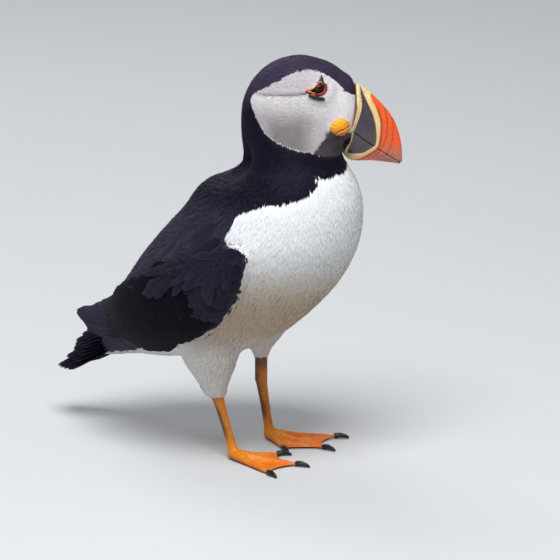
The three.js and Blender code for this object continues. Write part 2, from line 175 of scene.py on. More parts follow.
# The head's own frame: forward along the bill, sideways to the bird's left, up. The eyeballs give its place.
eyeSeat = np.array([10.8, 10.4, 11.2]) * mm  # middle of the left eyeball in it
headSideways = unit(nodeMiddle("eye_left") - nodeMiddle("eye_right"))
headForward = np.cross(headSideways, up)
headAxes = np.array([headForward, headSideways, up])
headMiddle = (nodeMiddle("eye_left") + nodeMiddle("eye_right")) / 2
headMiddle = headMiddle - headForward * eyeSeat[0] - up * eyeSeat[2]


def toHead(points):
    return (points - headMiddle) @ headAxes.T / mm


def fromHead(places):
    return headMiddle + np.asarray(places, float) * mm @ headAxes


print("puffin: frame read")


# Markings: the same for skin and coat.
# Outlines as seen from the side, in mm: [forward, up] in the head's frame, or [x, z] on the body.
markings = {
    "faceDisc": [[-23, 5.5], [-17.5, 10.6], [-9.2, 15.2], [-4.6, 17.6], [1.6, 19.7], [9.7, 20], [15.9, 17.4],
                 [21.6, 13.1], [26.3, 8.7], [30, 5], [34, -2], [32, -12], [26, -17], [24, -24], [19.3, -24.4],
                 [13, -22.6], [7.9, -20.4], [0.8, -18.6], [-7.1, -15.8], [-14, -12.4], [-18.4, -7.3],
                 [-21.4, -1]],
    "throatPatch": [[9.6, -20.8], [11.5, -17.2], [16.3, -14.1], [18.4, -10.6], [24, -11], [30, -14],
                    [29, -26], [19, -25.5]],
    "eyeCrease": [[7.6, 9.0], [0.4, 8.3], [-4.8, 8.1], [-10.6, 7.8], [-15.9, 7.2], [-21.5, 5.9]],
    "wing": [[50, 118], [46.5, 101], [34.5, 83.5], [26, 76], [12, 69.5], [3, 64.5], [-18, 58], [-44, 54],
             [-47, 66], [-43, 80], [-20, 94], [2, 106], [13, 111], [23, 116], [33, 120], [42, 122.5]],
    "whiteBelow": [[120, 157.8], [77, 157.6], [75.8, 156], [74.2, 152], [70.5, 148.4], [64, 146.6],
                   [56, 144.9], [48, 142.4], [41.5, 138.6], [38.6, 134], [37.2, 127.5], [39, 121], [34, 104],
                   [16, 82], [-8, 62], [-32, 51], [-52, 45], [-76, 40], [-120, 40], [-120, -10], [120, -10]],
}
plumage = linearAll({
    "faceFront": "#e4e0e2",
    "faceBack": "#b3abb0",
    "faceLowShade": "#5e5654",
    "faceRim": "#e4e1e1",
    "throatPatch": "#4a4348",
    "creaseShade": "#2e282c",
    # the crown: partly a painted highlight on top of the head
    "crown": "#3b3245",
    "neck": "#110d1b",
    "back": "#302c3c",
    "blackLight": "#3c374a",
    "breast": "#ebeff2",
    "belly": "#a48c69",
    "vent": "#b9afa2",
    "worn": "#33291f",
    "vane": "#070509",
    "tail": "#12131e",
    # lighter blue-grey of primaries and upper scapulars: partly a painted sheen
    "flight": "#2c2a38",
    "ruffle": "#23202c",
})
faceDisc = smoothLine(markings["faceDisc"], closed=True)
throatPatch = smoothLine(markings["throatPatch"], closed=True)
eyeCrease = smoothLine(markings["eyeCrease"])
whiteBelow = smoothLine(markings["whiteBelow"], closed=True)
wingOutline = smoothLine(markings["wing"], closed=True)
collarTurn = 9  # mm the collar stands further back on the left, the head being turned
wingInside = 0.03  # the wings lie further out than this
headFoot, neckFoot, breastFoot = 0.1615, 0.128, 0.1  # heights where one part's coat gives way to the next
neckShade = (0.135, 0.15)  # heights over which the back's black turns to the neck's
crownShade = (0.188, 0.2)


# How white a place is, from 0 to 1: first on the face, then under the collar. The borders wander a little.
def whiteOnFace(points):
    reach = reachFrom(toHead(points)[:, [0, 2]], faceDisc, True)
    return smoothStep(-0.35, 0.35, reach + 0.45 * (softNoise(points, 1.5 * mm, 3) - 0.5))


def whiteOnBody(points):
    flat = points[:, [0, 2]] / mm
    outside = -reachFrom(flat, wingOutline, True) + 40 * (np.abs(points[:, 1]) < wingInside)
    turned = collarTurn * smoothStep(0.002, 0.018, points[:, 1]) * smoothStep(0.138, 0.148, points[:, 2])
    flat = flat + np.array([1, 0]) * turned[:, None]
    reach = np.minimum(reachFrom(flat, whiteBelow, True), outside)
    return smoothStep(-0.6, 0.6, reach + 1.4 * (softNoise(points, 2.4 * mm, 4) - 0.5))


def blackTint(points, fine):
    grain = 0.85 + 0.3 * fine[:, None]
    blotch = softNoise(points, 7 * mm, 5)
    worn = 0.55 * smoothStep(0.45, 0.8, 0.6 * blotch + 0.4 * fine)
    black = mixed(plumage["back"], plumage["blackLight"], worn)
    black = mixed(black, plumage["neck"] * grain, smoothStep(*neckShade, points[:, 2]))
    # The crown lighter than the neck, partly as a painted highlight on top of the head.
    black = mixed(black, plumage["crown"] * grain, smoothStep(*crownShade, points[:, 2]))
    onWing = smoothStep(-1.5, 1.5, reachFrom(points[:, [0, 2]] / mm, wingOutline, True))
    return mixed(black, plumage["ruffle"], 0.85 * (onWing * (np.abs(points[:, 1]) > wingInside)))


# White, darker and beige towards the belly, partly a light stain and partly painted shade with a painted warm
# reflection from below; greyer under the tail as painted shade.
def whiteTint(points, fine):
    # Painted shade and a painted warm reflection low on the body, over a light stain; the thighs get less of
    # it.
    low = smoothStep(0.135, 0.086, points[:, 2]) * smoothStep(-0.035, 0.04, points[:, 0])
    low = low * (1 - 0.35 * smoothStep(0.078, 0.06, points[:, 2]))
    white = mixed(plumage["breast"], plumage["belly"], 0.85 * low)
    # Painted shade under the tail.
    white = mixed(white, plumage["vent"], smoothStep(0.0, -0.045, points[:, 0]) * 0.6)
    return white * (0.94 + 0.08 * fine[:, None])


# The face: pale before and over the eye; grey behind, partly its own grey and partly painted shade; darker low
# down as painted shade; painted shade along the fold; and the throat's patch.
def faceTint(points, fine):
    head = toHead(points)
    flat = head[:, [0, 2]]
    front = smoothStep(2, 21, flat[:, 0] + 0.35 * (4 - np.abs(flat[:, 1] - 2)))
    face = mixed(plumage["faceBack"], plumage["faceFront"], 0.25 + 0.75 * front)
    under = smoothStep(11, 6, flat[:, 1]) * smoothStep(-4, 8, flat[:, 1])
    face = mixed(face, plumage["faceFront"], 0.8 * under)
    # Painted shade on the lower cheek, where less light falls.
    low = smoothStep(3, -9, flat[:, 1]) * smoothStep(15, 1, flat[:, 0]) * smoothStep(-20, -8, flat[:, 0])
    face = mixed(face, plumage["faceLowShade"], 0.75 * low)
    # Painted shade along the fold behind the eye.
    fold = np.exp(-(reachFrom(flat, eyeCrease) / 0.42) ** 2) * smoothStep(-21, -6, flat[:, 0])
    face = mixed(face, plumage["creaseShade"], 0.9 * (fold * (np.abs(head[:, 1]) > 5)))
    rim = smoothStep(1.7, 0.5, reachFrom(flat, faceDisc, True)) * smoothStep(-6, -10, flat[:, 1])
    face = mixed(face, plumage["faceRim"], rim)
    face = face * (0.95 + 0.08 * fine[:, None])
    patch = smoothStep(-0.5, 0.5, reachFrom(flat, throatPatch, True) + 1.2 * (fine - 0.5))
    return mixed(face, plumage["throatPatch"] * (0.8 + 0.4 * fine[:, None]), patch)


tints = {"black": blackTint, "white": whiteTint, "face": faceTint}


# The colour of the plumage at each place, linear. A coat of one cover keeps to it.
def plumageColour(points, cover=None):
    fine = softNoise(points, 2.2 * mm, 6)
    if cover:
        return tints[cover](points, fine)
    body = mixed(blackTint(points, fine), whiteTint(points, fine), whiteOnBody(points))
    return mixed(body, faceTint(points, fine), whiteOnFace(points))


# Meshes: making, reading and changing them.
def newObject(name, mesh):
    piece = bpy.data.objects.new(name, mesh)
    bpy.context.scene.collection.objects.link(piece)
    return piece


def meshOf(name, points, faces):
    mesh = bpy.data.meshes.new(name)
    mesh.from_pydata([tuple(p) for p in points], [], [tuple(f) for f in faces])
    mesh.update()
    return mesh


def read(rows, key, width, kind=np.float32):
    values = np.empty(len(rows) * width, kind)
    rows.foreach_get(key, values)
    return values.reshape(-1, width) if width > 1 else values


def setPoints(mesh, points):
    mesh.vertices.foreach_set("co", points.astype(np.float32).ravel())


def setSmooth(mesh):
    mesh.polygons.foreach_set("use_smooth", np.ones(len(mesh.polygons), bool))


# A colour for every point of a mesh, for its material to read.
def paint(mesh, colours):
    layer = mesh.color_attributes.new("tint", "FLOAT_COLOR", "POINT")
    full = np.ones((len(mesh.vertices), 4), np.float32)
    full[:, :3] = colours
    layer.data.foreach_set("color", full.ravel())


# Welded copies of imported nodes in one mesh, each pushed out by grow.
def nodeCopies(name, nodes, grow=0.0):
    joined = bmesh.new()
    for node in nodes:
        part = bmesh.new()
        part.from_mesh(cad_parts[node].data)
        bmesh.ops.remove_doubles(part, verts=part.verts, dist=1e-3 * mm)
        part.normal_update()
        for vertex in part.verts:
            vertex.co += vertex.normal * grow
        own = bpy.data.meshes.new(name)
        part.to_mesh(own)
        joined.from_mesh(own)
        bpy.data.meshes.remove(own)
        part.free()
    mesh = bpy.data.meshes.new(name)
    joined.to_mesh(mesh)
    joined.free()
    return mesh


# The mesh after modifiers given as (kind, settings) pairs.
def modified(mesh, *steps, weights=None):
    piece = newObject(mesh.name, mesh)
    if weights is not None:
        group = piece.vertex_groups.new(name="share")
        for level in np.unique(weights):
            group.add(np.flatnonzero(weights == level).tolist(), float(level), "REPLACE")
    for kind, settings in steps:
        modifier = piece.modifiers.new(kind.lower(), kind)
        for key, value in settings.items():
            setattr(modifier, key, value)
    made = bpy.data.meshes.new_from_object(piece.evaluated_get(bpy.context.evaluated_depsgraph_get()))
    bpy.data.objects.remove(piece)
    bpy.data.meshes.remove(mesh)
    return made


# Only the biggest connected shell of a mesh.
def biggestShell(mesh):
    shape = bmesh.new()
    shape.from_mesh(mesh)
    left = set(shape.verts)
    shells = []
    while left:
        seed = left.pop()
        shell = [seed]
        for vertex in shell:
            for edge in vertex.link_edges:
                other = edge.other_vert(vertex)
                if other in left:
                    left.discard(other)
                    shell.append(other)
        shells.append(shell)
    shells.sort(key=len)
    bmesh.ops.delete(shape, geom=[v for shell in shells[:-1] for v in shell], context="VERTS")
    shape.to_mesh(mesh)
    shape.free()


# Moves every point towards the middle of its neighbours, by its own share, some rounds; keeping sizes takes
# nearly as much back each time, so that only the facets go.
def relax(mesh, share, rounds, keepSize=False):
    points = read(mesh.vertices, "co", 3).astype(float)
    ends = read(mesh.edges, "vertices", 2, np.int32)
    count = np.bincount(ends.ravel(), minlength=len(points))
    first, second = ends[:, 0], ends[:, 1]
    for _ in range(rounds):
        for pull in (1, -1.04) if keepSize else (1,):
            middle = [np.bincount(first, points[second, k], len(points))
                      + np.bincount(second, points[first, k], len(points)) for k in range(3)]
            middle = np.stack(middle, 1) / np.maximum(count, 1)[:, None]
            points += (middle - points) * share[:, None] * pull
    setPoints(mesh, points)
    mesh.update()


def shapeOf(mesh):
    return read(mesh.vertices, "co", 3).astype(float), read(mesh.vertex_normals, "vector", 3).astype(float)


# Skin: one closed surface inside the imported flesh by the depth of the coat.
skinPlan = {
    "fineVoxel": 0.55,  # mm, keeps toes, webs and face
    "bodyGrow": 0.7,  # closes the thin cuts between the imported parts
    "legGrow": 0.2,
    "bodyKeep": 0.24,  # share of faces kept, most of them on the face
    "rounds": 110,  # of smoothing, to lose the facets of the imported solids
    "trunkRounds": 45,
    "bodyCoat": 0.35,  # mm of feathers over the body, less what the smoothing took
    "headCoat": 0.65,
    "wingCoat": 1.6,
    "ankleHeights": [34, 46],  # where the feathers of the right and the left leg end
    "shankAt": [15.2, 21],  # middle of the left leg, bare to higher up
    "shankRound": 3.3,  # its half width over the ankle
    "scaleSize": 0.95,  # mm, of the scales on legs and feet
}
footTop, ankleTop = 0.036, 0.06  # heights in metres under which the feet and the bare leg keep fine faces
chinHeight, cheekStart = -26, -2  # in the head's frame: over the one and before the other they stay fine
legReach = 16  # mm round the middle of the bare leg
# Soft pushes on the skin: place in the head's frame or on the body, reach and push in mm, both sides alike.
headPushes = [
    [[17, 0, 19.5], 9, 2.6],  # a fuller forehead
    [[24, 0, 12], 7, 2.5],
    [[25, 6, -17], 6, 2.4],  # throat up to the foot of the bill
    [[-6, 0, 21], 9, -0.8],
    [[-24, 4, 9], 9, 0.3],
    [[-31, 4, -9], 10, 0.7],  # the round of the hind head
    [[-27, 9, -27], 11, -6.6],  # the hollow of the nape over the shoulders
    [[-28, 9, -32], 8.5, -3.4],
    [[-30, 0, -30], 9, -2.6],
]
bodyPushes = [
    [[80, 0, 138], 20, 1.6],  # the full breast
    [[5, 20, 143], 15, 1.7],  # the shoulders
    [[72, 0, 112], 18, 0.8],
    [[-30, 0, 44], 14, 1.6],  # feathers under the tail
]
fleshNodes = ["head", "neck", "trunk", "rump"]
fleshNodes += [f"{part}_{side}" for side in sides for part in ("wing", "thigh")]
legNodes = [f"{part}_{side}" for side in sides for part in ("shank", "foot")]


def ankleAt(points):
    return np.where(points[:, 1] > 0, skinPlan["ankleHeights"][1], skinPlan["ankleHeights"][0])


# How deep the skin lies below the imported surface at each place, in mm.
def coatDepth(points):
    head = toHead(points)
    depth = np.full(len(points), float(skinPlan["bodyCoat"]))
    onHead = smoothStep(-34, -24, head[:, 2])
    depth = depth * (1 - onHead) + skinPlan["headCoat"] * onHead
    beak = smoothStep(21, 27, head[:, 0]) * onHead
    depth = depth * (1 - beak) - 0.5 * beak  # it laps the foot of the bill
    for side in sides.values():
        far = np.linalg.norm(head - eyeSeat / mm * [1, side, 1], axis=1)
        near = smoothStep(12, 7, far)
        depth = depth * (1 - near) - 0.3 * near  # the lids stand over the ball
    height = points[:, 2] / mm
    thigh = smoothStep(0, 16, height - ankleAt(points))
    return depth * thigh


def softPushes(points):
    total = np.zeros(len(points))
    for places, pushes in [(toHead(points), headPushes), (points / mm, bodyPushes)]:
        folded = places * [1, 0, 1] + np.abs(places) * [0, 1, 0]
        for middle, reach, push in pushes:
            total += push * np.exp(-(np.linalg.norm(folded - middle, axis=1) / reach) ** 2)
    return total


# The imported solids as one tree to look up, with the node that each face belongs to.
def solidsTree(nodes):
    points, faces, owners = [], [], []
    for node in nodes:
        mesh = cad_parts[node].data
        start = len(points)
        points += [v.co.copy() for v in mesh.vertices]
        faces += [tuple(start + i for i in face.vertices) for face in mesh.polygons]
        owners += [node] * len(mesh.polygons)
    return BVHTree.FromPolygons(points, faces), owners


fleshTree, fleshOwners = solidsTree(fleshNodes + legNodes)


def ownersAt(points):
    return [fleshOwners[fleshTree.find_nearest(Vector(p))[2]] for p in points]


# A plain number for every point, which finer faces take over.
def mark(mesh, name, values):
    mesh.attributes.new(name, "FLOAT", "POINT").data.foreach_set("value", np.asarray(values, np.float32))


def marked(mesh, name):
    return read(mesh.attributes[name].data, "value", 1)


# The bare left leg slimmed over its ankle, and the soles kept off the floor.
def slimLeg(points):
    off = points[:, :2] / mm - skinPlan["shankAt"]
    far = np.linalg.norm(off, axis=1)
    height = points[:, 2] / mm
    slim = skinPlan["shankRound"] + (far - skinPlan["shankRound"]) * smoothStep(43, 62, height)
    near = (height > 31) & (far < 17) & (far > slim)
    points[near, :2] = (skinPlan["shankAt"] + off[near] * (slim / far)[near, None]) * mm
    points[:, 2] = np.maximum(points[:, 2], 0.02 * mm)


def makeSkin():
    inside = [f"{part}_{side}" for part in ("eye", "gape") for side in sides]
    mesh = nodeCopies("puffinSkin", fleshNodes + inside, skinPlan["bodyGrow"] * mm)
    legs = nodeCopies("legs", legNodes, skinPlan["legGrow"] * mm)
    joined = bmesh.new()
    joined.from_mesh(mesh)
    joined.from_mesh(legs)
    joined.to_mesh(mesh)
    joined.free()
    mesh = modified(mesh, ("REMESH", {"mode": "VOXEL", "voxel_size": skinPlan["fineVoxel"] * mm}))
    biggestShell(mesh)
    print("puffin: skin remeshed,", len(mesh.polygons), "faces")
    points, _ = shapeOf(mesh)
    onLeg = smoothStep(40, 34, points[:, 2] / mm)
    onWing = np.array([owner.startswith("wing") for owner in ownersAt(points)], float)
    relax(mesh, 0.6 * (1 - 0.9 * onLeg) * (1 - 0.75 * onWing), skinPlan["rounds"])
    mark(mesh, "onWing", onWing)
    points, _ = shapeOf(mesh)
    head = toHead(points)
    face = (head[:, 0] > cheekStart) & (head[:, 2] > chinHeight)
    fine = (points[:, 2] < footTop) | (head[:, 2] > chinHeight)
    offLeg = np.linalg.norm(points[:, :2] / mm - skinPlan["shankAt"], axis=1)
    fine |= (points[:, 2] < ankleTop) & (offLeg < legReach)
    thinned = {"ratio": skinPlan["bodyKeep"], "vertex_group": "share", "vertex_group_factor": 10.0}
    mesh = modified(mesh, ("TRIANGULATE", {}), ("DECIMATE", thinned),
                    weights=np.where(face, 0.05, np.where(fine, 0.6, 0.8)))
    print("puffin: skin thinned,", len(mesh.polygons), "faces")
    onWing = marked(mesh, "onWing")
    points, _ = shapeOf(mesh)
    underHead = smoothStep(-24, -34, toHead(points)[:, 2])
    trunk = underHead * smoothStep(66, 84, points[:, 2] / mm) * (1 - onWing)
    relax(mesh, 0.55 * trunk, skinPlan["trunkRounds"])
    points, normals = shapeOf(mesh)
    onLeg = smoothStep(40, 34, points[:, 2] / mm)
    grown = skinPlan["bodyGrow"] * (1 - onLeg) + skinPlan["legGrow"] * onLeg
    depth = coatDepth(points) * (1 - onWing) + skinPlan["wingCoat"] * onWing
    underHead = smoothStep(-24, -34, toHead(points)[:, 2])
    depth = depth + 0.4 * (1 - trunk) * (1 - onWing) * underHead - softPushes(points)
    points -= normals * ((grown + depth) * mm)[:, None]
    setPoints(mesh, points)
    mesh.update()
    relax(mesh, np.full(len(points), 0.2), 1)
    points, _ = shapeOf(mesh)
    slimLeg(points)
    setPoints(mesh, points)
    mesh.update()
    return mesh


# Finer faces where keep says, for folds too small for the rest of the skin.
def refine(mesh, keep, rounds):
    for _ in range(rounds):
        shape = bmesh.new()
        shape.from_mesh(mesh)
        points = np.array([v.co for v in shape.verts])
        chosen = keep(points)
        shape.verts.ensure_lookup_table()
        edges = [e for e in shape.edges if chosen[e.verts[0].index] and chosen[e.verts[1].index]]
        bmesh.ops.subdivide_edges(shape, edges=edges, cuts=1, use_grid_fill=True)
        bmesh.ops.triangulate(shape, faces=[f for f in shape.faces if len(f.verts) > 3])
        shape.to_mesh(mesh)
        shape.free()
        mesh.update()


# The opening between the lids, in mm round the middle of the eye: an almond drawn out behind.
eyePlan = {
    "opening": [2.6, 2.35],  # half length and half height
    "corner": 1.9,  # how far the hind corner is drawn out
    "lidWidth": 1.15,
    "lidHeight": 0.75,
    "pocketDepth": 3.2,
}


# Places round the eye on one side: forward and up from its middle in mm, and how far out from the edge of
# the opening.
def roundEye(head, side):
    forward = head[:, 0] - eyeSeat[0] / mm - 1.3
    high = head[:, 2] - eyeSeat[2] / mm + 0.1
    behind = smoothStep(0, -3.5, forward)
    tall = eyePlan["opening"][1] * (1 - 0.55 * behind)
    long = eyePlan["opening"][0] + eyePlan["corner"] * behind
    reach = np.hypot(forward / long, (high + 0.35 * behind * 2) / tall)
    far = (reach - 1) * np.where(forward < 0, 0.5 * (long + tall), tall)
    onSide = head[:, 1] * side > 4
    return forward, high, np.where(onSide, far, 99.0)


# The width of the bare ring, in mm: broad before and under the eye.
def ringWidth(forward, high):
    return 1.2 + 0.6 * smoothStep(-0.5, 1.5, np.maximum(forward, -high)) * smoothStep(2.6, 1.2, high)


def roundBothEyes(points):
    head = toHead(points)
    return np.min([roundEye(head, side)[2] for side in sides.values()], axis=0)


def sculptFace(mesh):
    refine(mesh, lambda points: roundBothEyes(points) < 3.5, 2)
    points, normals = shapeOf(mesh)
    head = toHead(points)
    move = np.zeros(len(points))
    for side in sides.values():
        far = roundEye(head, side)[2]
        lid = np.exp(-((far - 0.45 * eyePlan["lidWidth"]) / (0.5 * eyePlan["lidWidth"])) ** 2)
        move += eyePlan["lidHeight"] * lid - eyePlan["pocketDepth"] * smoothStep(0.05, -0.5, far)
        onSide = head[:, 1] * side > 3
        crease = reachFrom(head[:, [0, 2]], eyeCrease)
        fade = smoothStep(-23, -16, head[:, 0])
        move -= 1.0 * np.exp(-(crease / 0.9) ** 2) * onSide * fade
        above = (head[:, 2] > 7.9) * smoothStep(3.6, 0.6, crease)
        move += 0.35 * above * onSide * fade
    points += normals * (move * mm)[:, None]
    setPoints(mesh, points)
    mesh.update()


skinMesh = makeSkin()
sculptFace(skinMesh)
print("puffin: skin ready,", len(skinMesh.polygons), "faces")


# Where the coat grows.
skinCorners = [tuple(face.vertices) for face in skinMesh.polygons]
skinTree = BVHTree.FromPolygons([vertex.co for vertex in skinMesh.vertices], skinCorners)
skinCorners = np.array(skinCorners)
skinPoints, skinNormals = shapeOf(skinMesh)


# The nearest places on the skin, with its smooth outward direction there.
def onSkin(points):
    spots = np.empty((len(points), 3))
    faces = np.empty(len(points), int)
    for i, point in enumerate(points):
        spot, _, face, _ = skinTree.find_nearest(Vector(point))
        spots[i] = spot
        faces[i] = face
    a, b, c = (skinPoints[skinCorners[faces, k]] for k in range(3))
    area = np.cross(b - a, c - a)
    size = np.maximum(np.einsum("ij,ij->i", area, area), 1e-30)
    shareB = np.einsum("ij,ij->i", np.cross(spots - a, c - a), area) / size
    shareC = np.einsum("ij,ij->i", np.cross(b - a, spots - a), area) / size
    na, nb, nc = (skinNormals[skinCorners[faces, k]] for k in range(3))
    return spots, unit(na + shareB[:, None] * (nb - na) + shareC[:, None] * (nc - na))


# The way the coat lies: along the bird from the bill back to the tail, and down each thigh.
liePath = np.concatenate([fromHead([[32, 0, -1], [14, 0, 5], [-4, 0, 1]]),
                          np.array([[46, 0, 164], [45, 0, 142], [30, 0, 112], [8, 0, 90], [-20, 0, 70],
                                    [-50, 0, 54], [-90, 0, 34]]) * mm])
lieReach = 15 * mm


def lieAt(points, normals):
    way = np.zeros((len(points), 3))
    total = np.zeros(len(points))
    for a, b in zip(liePath[:-1], liePath[1:]):
        span = b - a
        share = np.clip(((points - a) @ span) / (span @ span), 0, 1)
        near = np.exp(-(np.linalg.norm(points - a - share[:, None] * span, axis=1) / lieReach) ** 2 / 2 + 6)
        way += near[:, None] * unit(span)
        total += near
    way /= total[:, None]
    offLeg = np.hypot(points[:, 0] / mm - 16, np.abs(points[:, 1]) / mm - 21.5)
    leg = smoothStep(0.068, 0.05, points[:, 2]) * smoothStep(14, 9, offLeg)
    way = way * (1 - leg[:, None]) + leg[:, None] * np.array([-0.12, 0, -1])
    way -= np.einsum("ij,ij->i", way, normals)[:, None] * normals
    return unit(way)


# Random places on the skin, about spacing apart, where keep says so; spacing is a function of places, in
# metres.
def scatter(keep, spacing, seed, crowd=3.2):
    drawn = np.random.default_rng(seed)
    a, b, c = (skinPoints[skinCorners[:, k]] for k in range(3))
    area = np.linalg.norm(np.cross(b - a, c - a), axis=1) / 2
    touched = keep(skinPoints)[skinCorners].any(axis=1)
    density = np.where(touched, area / spacing((a + b + c) / 3) ** 2, 0)
    count = int(density.sum() * crowd)
    face = drawn.choice(len(area), count, p=density / density.sum())
    s, t = np.sqrt(drawn.random(count)), drawn.random(count)
    spots = (1 - s)[:, None] * a[face] + (s * (1 - t))[:, None] * b[face] + (s * t)[:, None] * c[face]
    spots = spots[keep(spots)]
    room = spacing(spots)
    cell = room.max()
    grid, kept = {}, []
    cells = np.floor(spots / cell).astype(int).tolist()
    places, rooms = spots.tolist(), room.tolist()
    for i, (x, y, z) in enumerate(cells):
        px, py, pz = places[i]
        least = (0.8 * rooms[i]) ** 2
        crowded = any((px - qx) ** 2 + (py - qy) ** 2 + (pz - qz) ** 2 < least
                      for gx in (x - 1, x, x + 1) for gy in (y - 1, y, y + 1) for gz in (z - 1, z, z + 1)
                      for qx, qy, qz in grid.get((gx, gy, gz), ()))
        if not crowded:
            grid.setdefault((x, y, z), []).append((px, py, pz))
            kept.append(i)
    return onSkin(spots[kept])


# The skin laid flat: round the head, round the body and down each leg, each in its own field of the square.
def flatPlace(points):
    head = toHead(points)
    onHead = points[:, 2] > 0.164
    turnHead = np.arctan2(head[:, 1], head[:, 2] + 6) / (2 * math.pi) + 0.5
    alongHead = (head[:, 0] + 32) / 66
    overAxis = points[:, 2] - 0.085 - 0.55 * points[:, 0] + 1e-9
    turnBody = np.arctan2(points[:, 1], overAxis) / (2 * math.pi) + 0.5
    alongBody = ((points[:, 0] - 0.02) * 0.8 + (points[:, 2] - 0.1) * 0.6) / 0.24 + 0.5
    u = np.where(onHead, turnHead, turnBody)
    v = np.where(onHead, 0.7 + 0.28 * alongHead, 0.02 + 0.66 * alongBody)  # the head over the body
    return np.clip(np.stack([u * 0.98 + 0.01, v], 1), 0.003, 0.997)


# Leads blades along the skin by the lie of the coat: the places, outward directions and ways at each share
# of the length.
def ledAlong(spots, normals, long, shares, swing, curl):
    place, facing = spots.copy(), normals.copy()
    way = lieAt(place, facing)
    across = np.cross(way, facing)
    way = unit(way * np.cos(swing)[:, None] + across * np.sin(swing)[:, None])
    frames = [(place, facing, way)]
    for before, after in zip(shares[:-1], shares[1:]):
        way = unit(way + np.cross(way, facing) * (curl * (after - before))[:, None])
        place, facing = onSkin(place + way * (long * (after - before))[:, None])
        way = unit(way - np.einsum("ij,ij->i", way, facing)[:, None] * facing)
        frames.append((place, facing, way))
    return frames


# One mesh of many alike shells: points is (count, own points, 3), faces are those of the first.
def manyOf(name, points, quads, triangles):
    count, own = points.shape[:2]
    mesh = bpy.data.meshes.new(name)
    start = np.arange(count)[:, None] * own
    corners = [(start + np.array(faces).ravel()[None]).reshape(-1) for faces in (quads, triangles) if faces]
    corners = np.concatenate(corners)
    sizes = np.concatenate([np.full(len(quads) * count, 4), np.full(len(triangles) * count, 3)])
    mesh.vertices.add(count * own)
    setPoints(mesh, points)
    mesh.loops.add(len(corners))
    mesh.loops.foreach_set("vertex_index", corners.astype(np.int32))
    mesh.polygons.add(len(sizes))
    mesh.polygons.foreach_set("loop_start", np.concatenate([[0], np.cumsum(sizes)[:-1]]).astype(np.int32))
    mesh.update(calc_edges=True)
    setSmooth(mesh)
    return mesh


# The bake's map: each tuft a small patch at its root's flat place.
tuftPatch = 0.003


def layFlat(mesh, roots, side, along):
    flat = flatPlace(roots)[:, None, :] + (np.stack([side, along], 1) - 0.5)[None] * tuftPatch
    layer = mesh.uv_layers.new(name="OFBake")
    corners = read(mesh.loops, "vertex_index", 1, np.int32)
    layer.data.foreach_set("uv", flat.reshape(-1, 2)[corners].astype(np.float32).ravel())


# Shading directions for every point, between the blade's own and the coat's, so that the coat shades as a
# whole.
def softShade(mesh, facings):
    mesh.normals_split_custom_set_from_vertices(unit(facings).astype(np.float32))


# Tufts: slim closed blades of three-sided section, root under the coat and tip on it.
def tuftMesh(name, spots, normals, plan, colours, seed):
    drawn = np.random.default_rng(seed)
    count, rings = len(spots), plan["rings"]
    size = 1 + plan["vary"] * (drawn.random(count) - 0.5) * 2
    long = plan["long"](spots) * size
    wide = plan["wide"](spots) * (0.8 + 0.4 * drawn.random(count))
    long = keptInZone(spots, lieAt(spots, normals), long, drawn)
    cut = np.minimum(1, long / plan["long"](spots) + 0.2)
    lift = plan["lift"](spots) * (0.6 + 0.8 * drawn.random(count)) * cut
    swing = plan["swing"] * drawn.normal(size=count)
    curl = plan["curl"] * drawn.normal(size=count)
    shares = np.linspace(0, 1, rings + 2)
    profile = np.interp(shares, *plan["profile"])
    points = np.empty((count, 3 * rings + 2, 3))
    facings = np.empty_like(points)
    tilt = plan["relief"]
    for k, (place, facing, way) in enumerate(ledAlong(spots, normals, long, shares, swing, curl)):
        height = -plan["sink"] * mm * (1 - shares[k]) ** 2 + lift * shares[k] ** plan["rise"]
        middle = place + facing * height[:, None]
        right = np.cross(way, facing)
        half = (wide / 2 * profile[k])[:, None]
        if k in (0, rings + 1):
            points[:, 0 if k == 0 else -1] = middle
            facings[:, 0 if k == 0 else -1] = facing + way * tilt * (k > 0)
        else:
            first = 1 + 3 * (k - 1)
            points[:, first] = middle - right * half
            points[:, first + 1] = middle + facing * half * plan["ridge"]
            points[:, first + 2] = middle + right * half
            facings[:, first] = facing - right * tilt
            facings[:, first + 1] = facing - way * tilt * 0.5
            facings[:, first + 2] = facing + right * tilt
    tip = 3 * rings + 1
    quads = [(1 + 3 * k + i, 1 + 3 * k + (i + 1) % 3, 4 + 3 * k + (i + 1) % 3, 4 + 3 * k + i)
             for k in range(rings - 1) for i in range(3)]
    triangles = [(0, 1 + (i + 1) % 3, 1 + i) for i in range(3)]
    triangles += [(tip - 3 + i, tip - 3 + (i + 1) % 3, tip) for i in range(3)]
    mesh = manyOf(name, points, quads, triangles)
    softShade(mesh, facings.reshape(-1, 3))
    along = np.concatenate([[0], np.repeat(shares[1:-1], 3), [1]])
    side = np.concatenate([[0.5], np.tile([0, 0.5, 1], rings), [0.5]])
    own = colours(spots) * (1 + plan["mottle"] * (drawn.random(count) - 0.5))[:, None]
    shade = plan["rootShade"] + (1 - plan["rootShade"]) * along
    paint(mesh, np.clip((own[:, None, :] * shade[None, :, None]).reshape(-1, 3), 0, 1))
    layFlat(mesh, spots, side, along)
    return mesh


# Vanes: broad closed feathers with a shaft, laid on places given along each (as ledAlong gives them).
vaneShape = {
    "columns": 5,
    "profile": ([0, 0.12, 0.45, 0.8, 0.93, 1], [0.35, 0.7, 1, 0.92, 0.66, 0.16]),
    "thick": 0.28,  # mm at the rim, more at the shaft
    "shaft": 0.3,  # mm that the shaft stands up
    "camber": 0.14,  # fall of the rim as a share of the half width
    "notch": 0.08,  # how far barbs part at the rim
    "roll": 0.3,  # how far the rims shade as if turned away
}


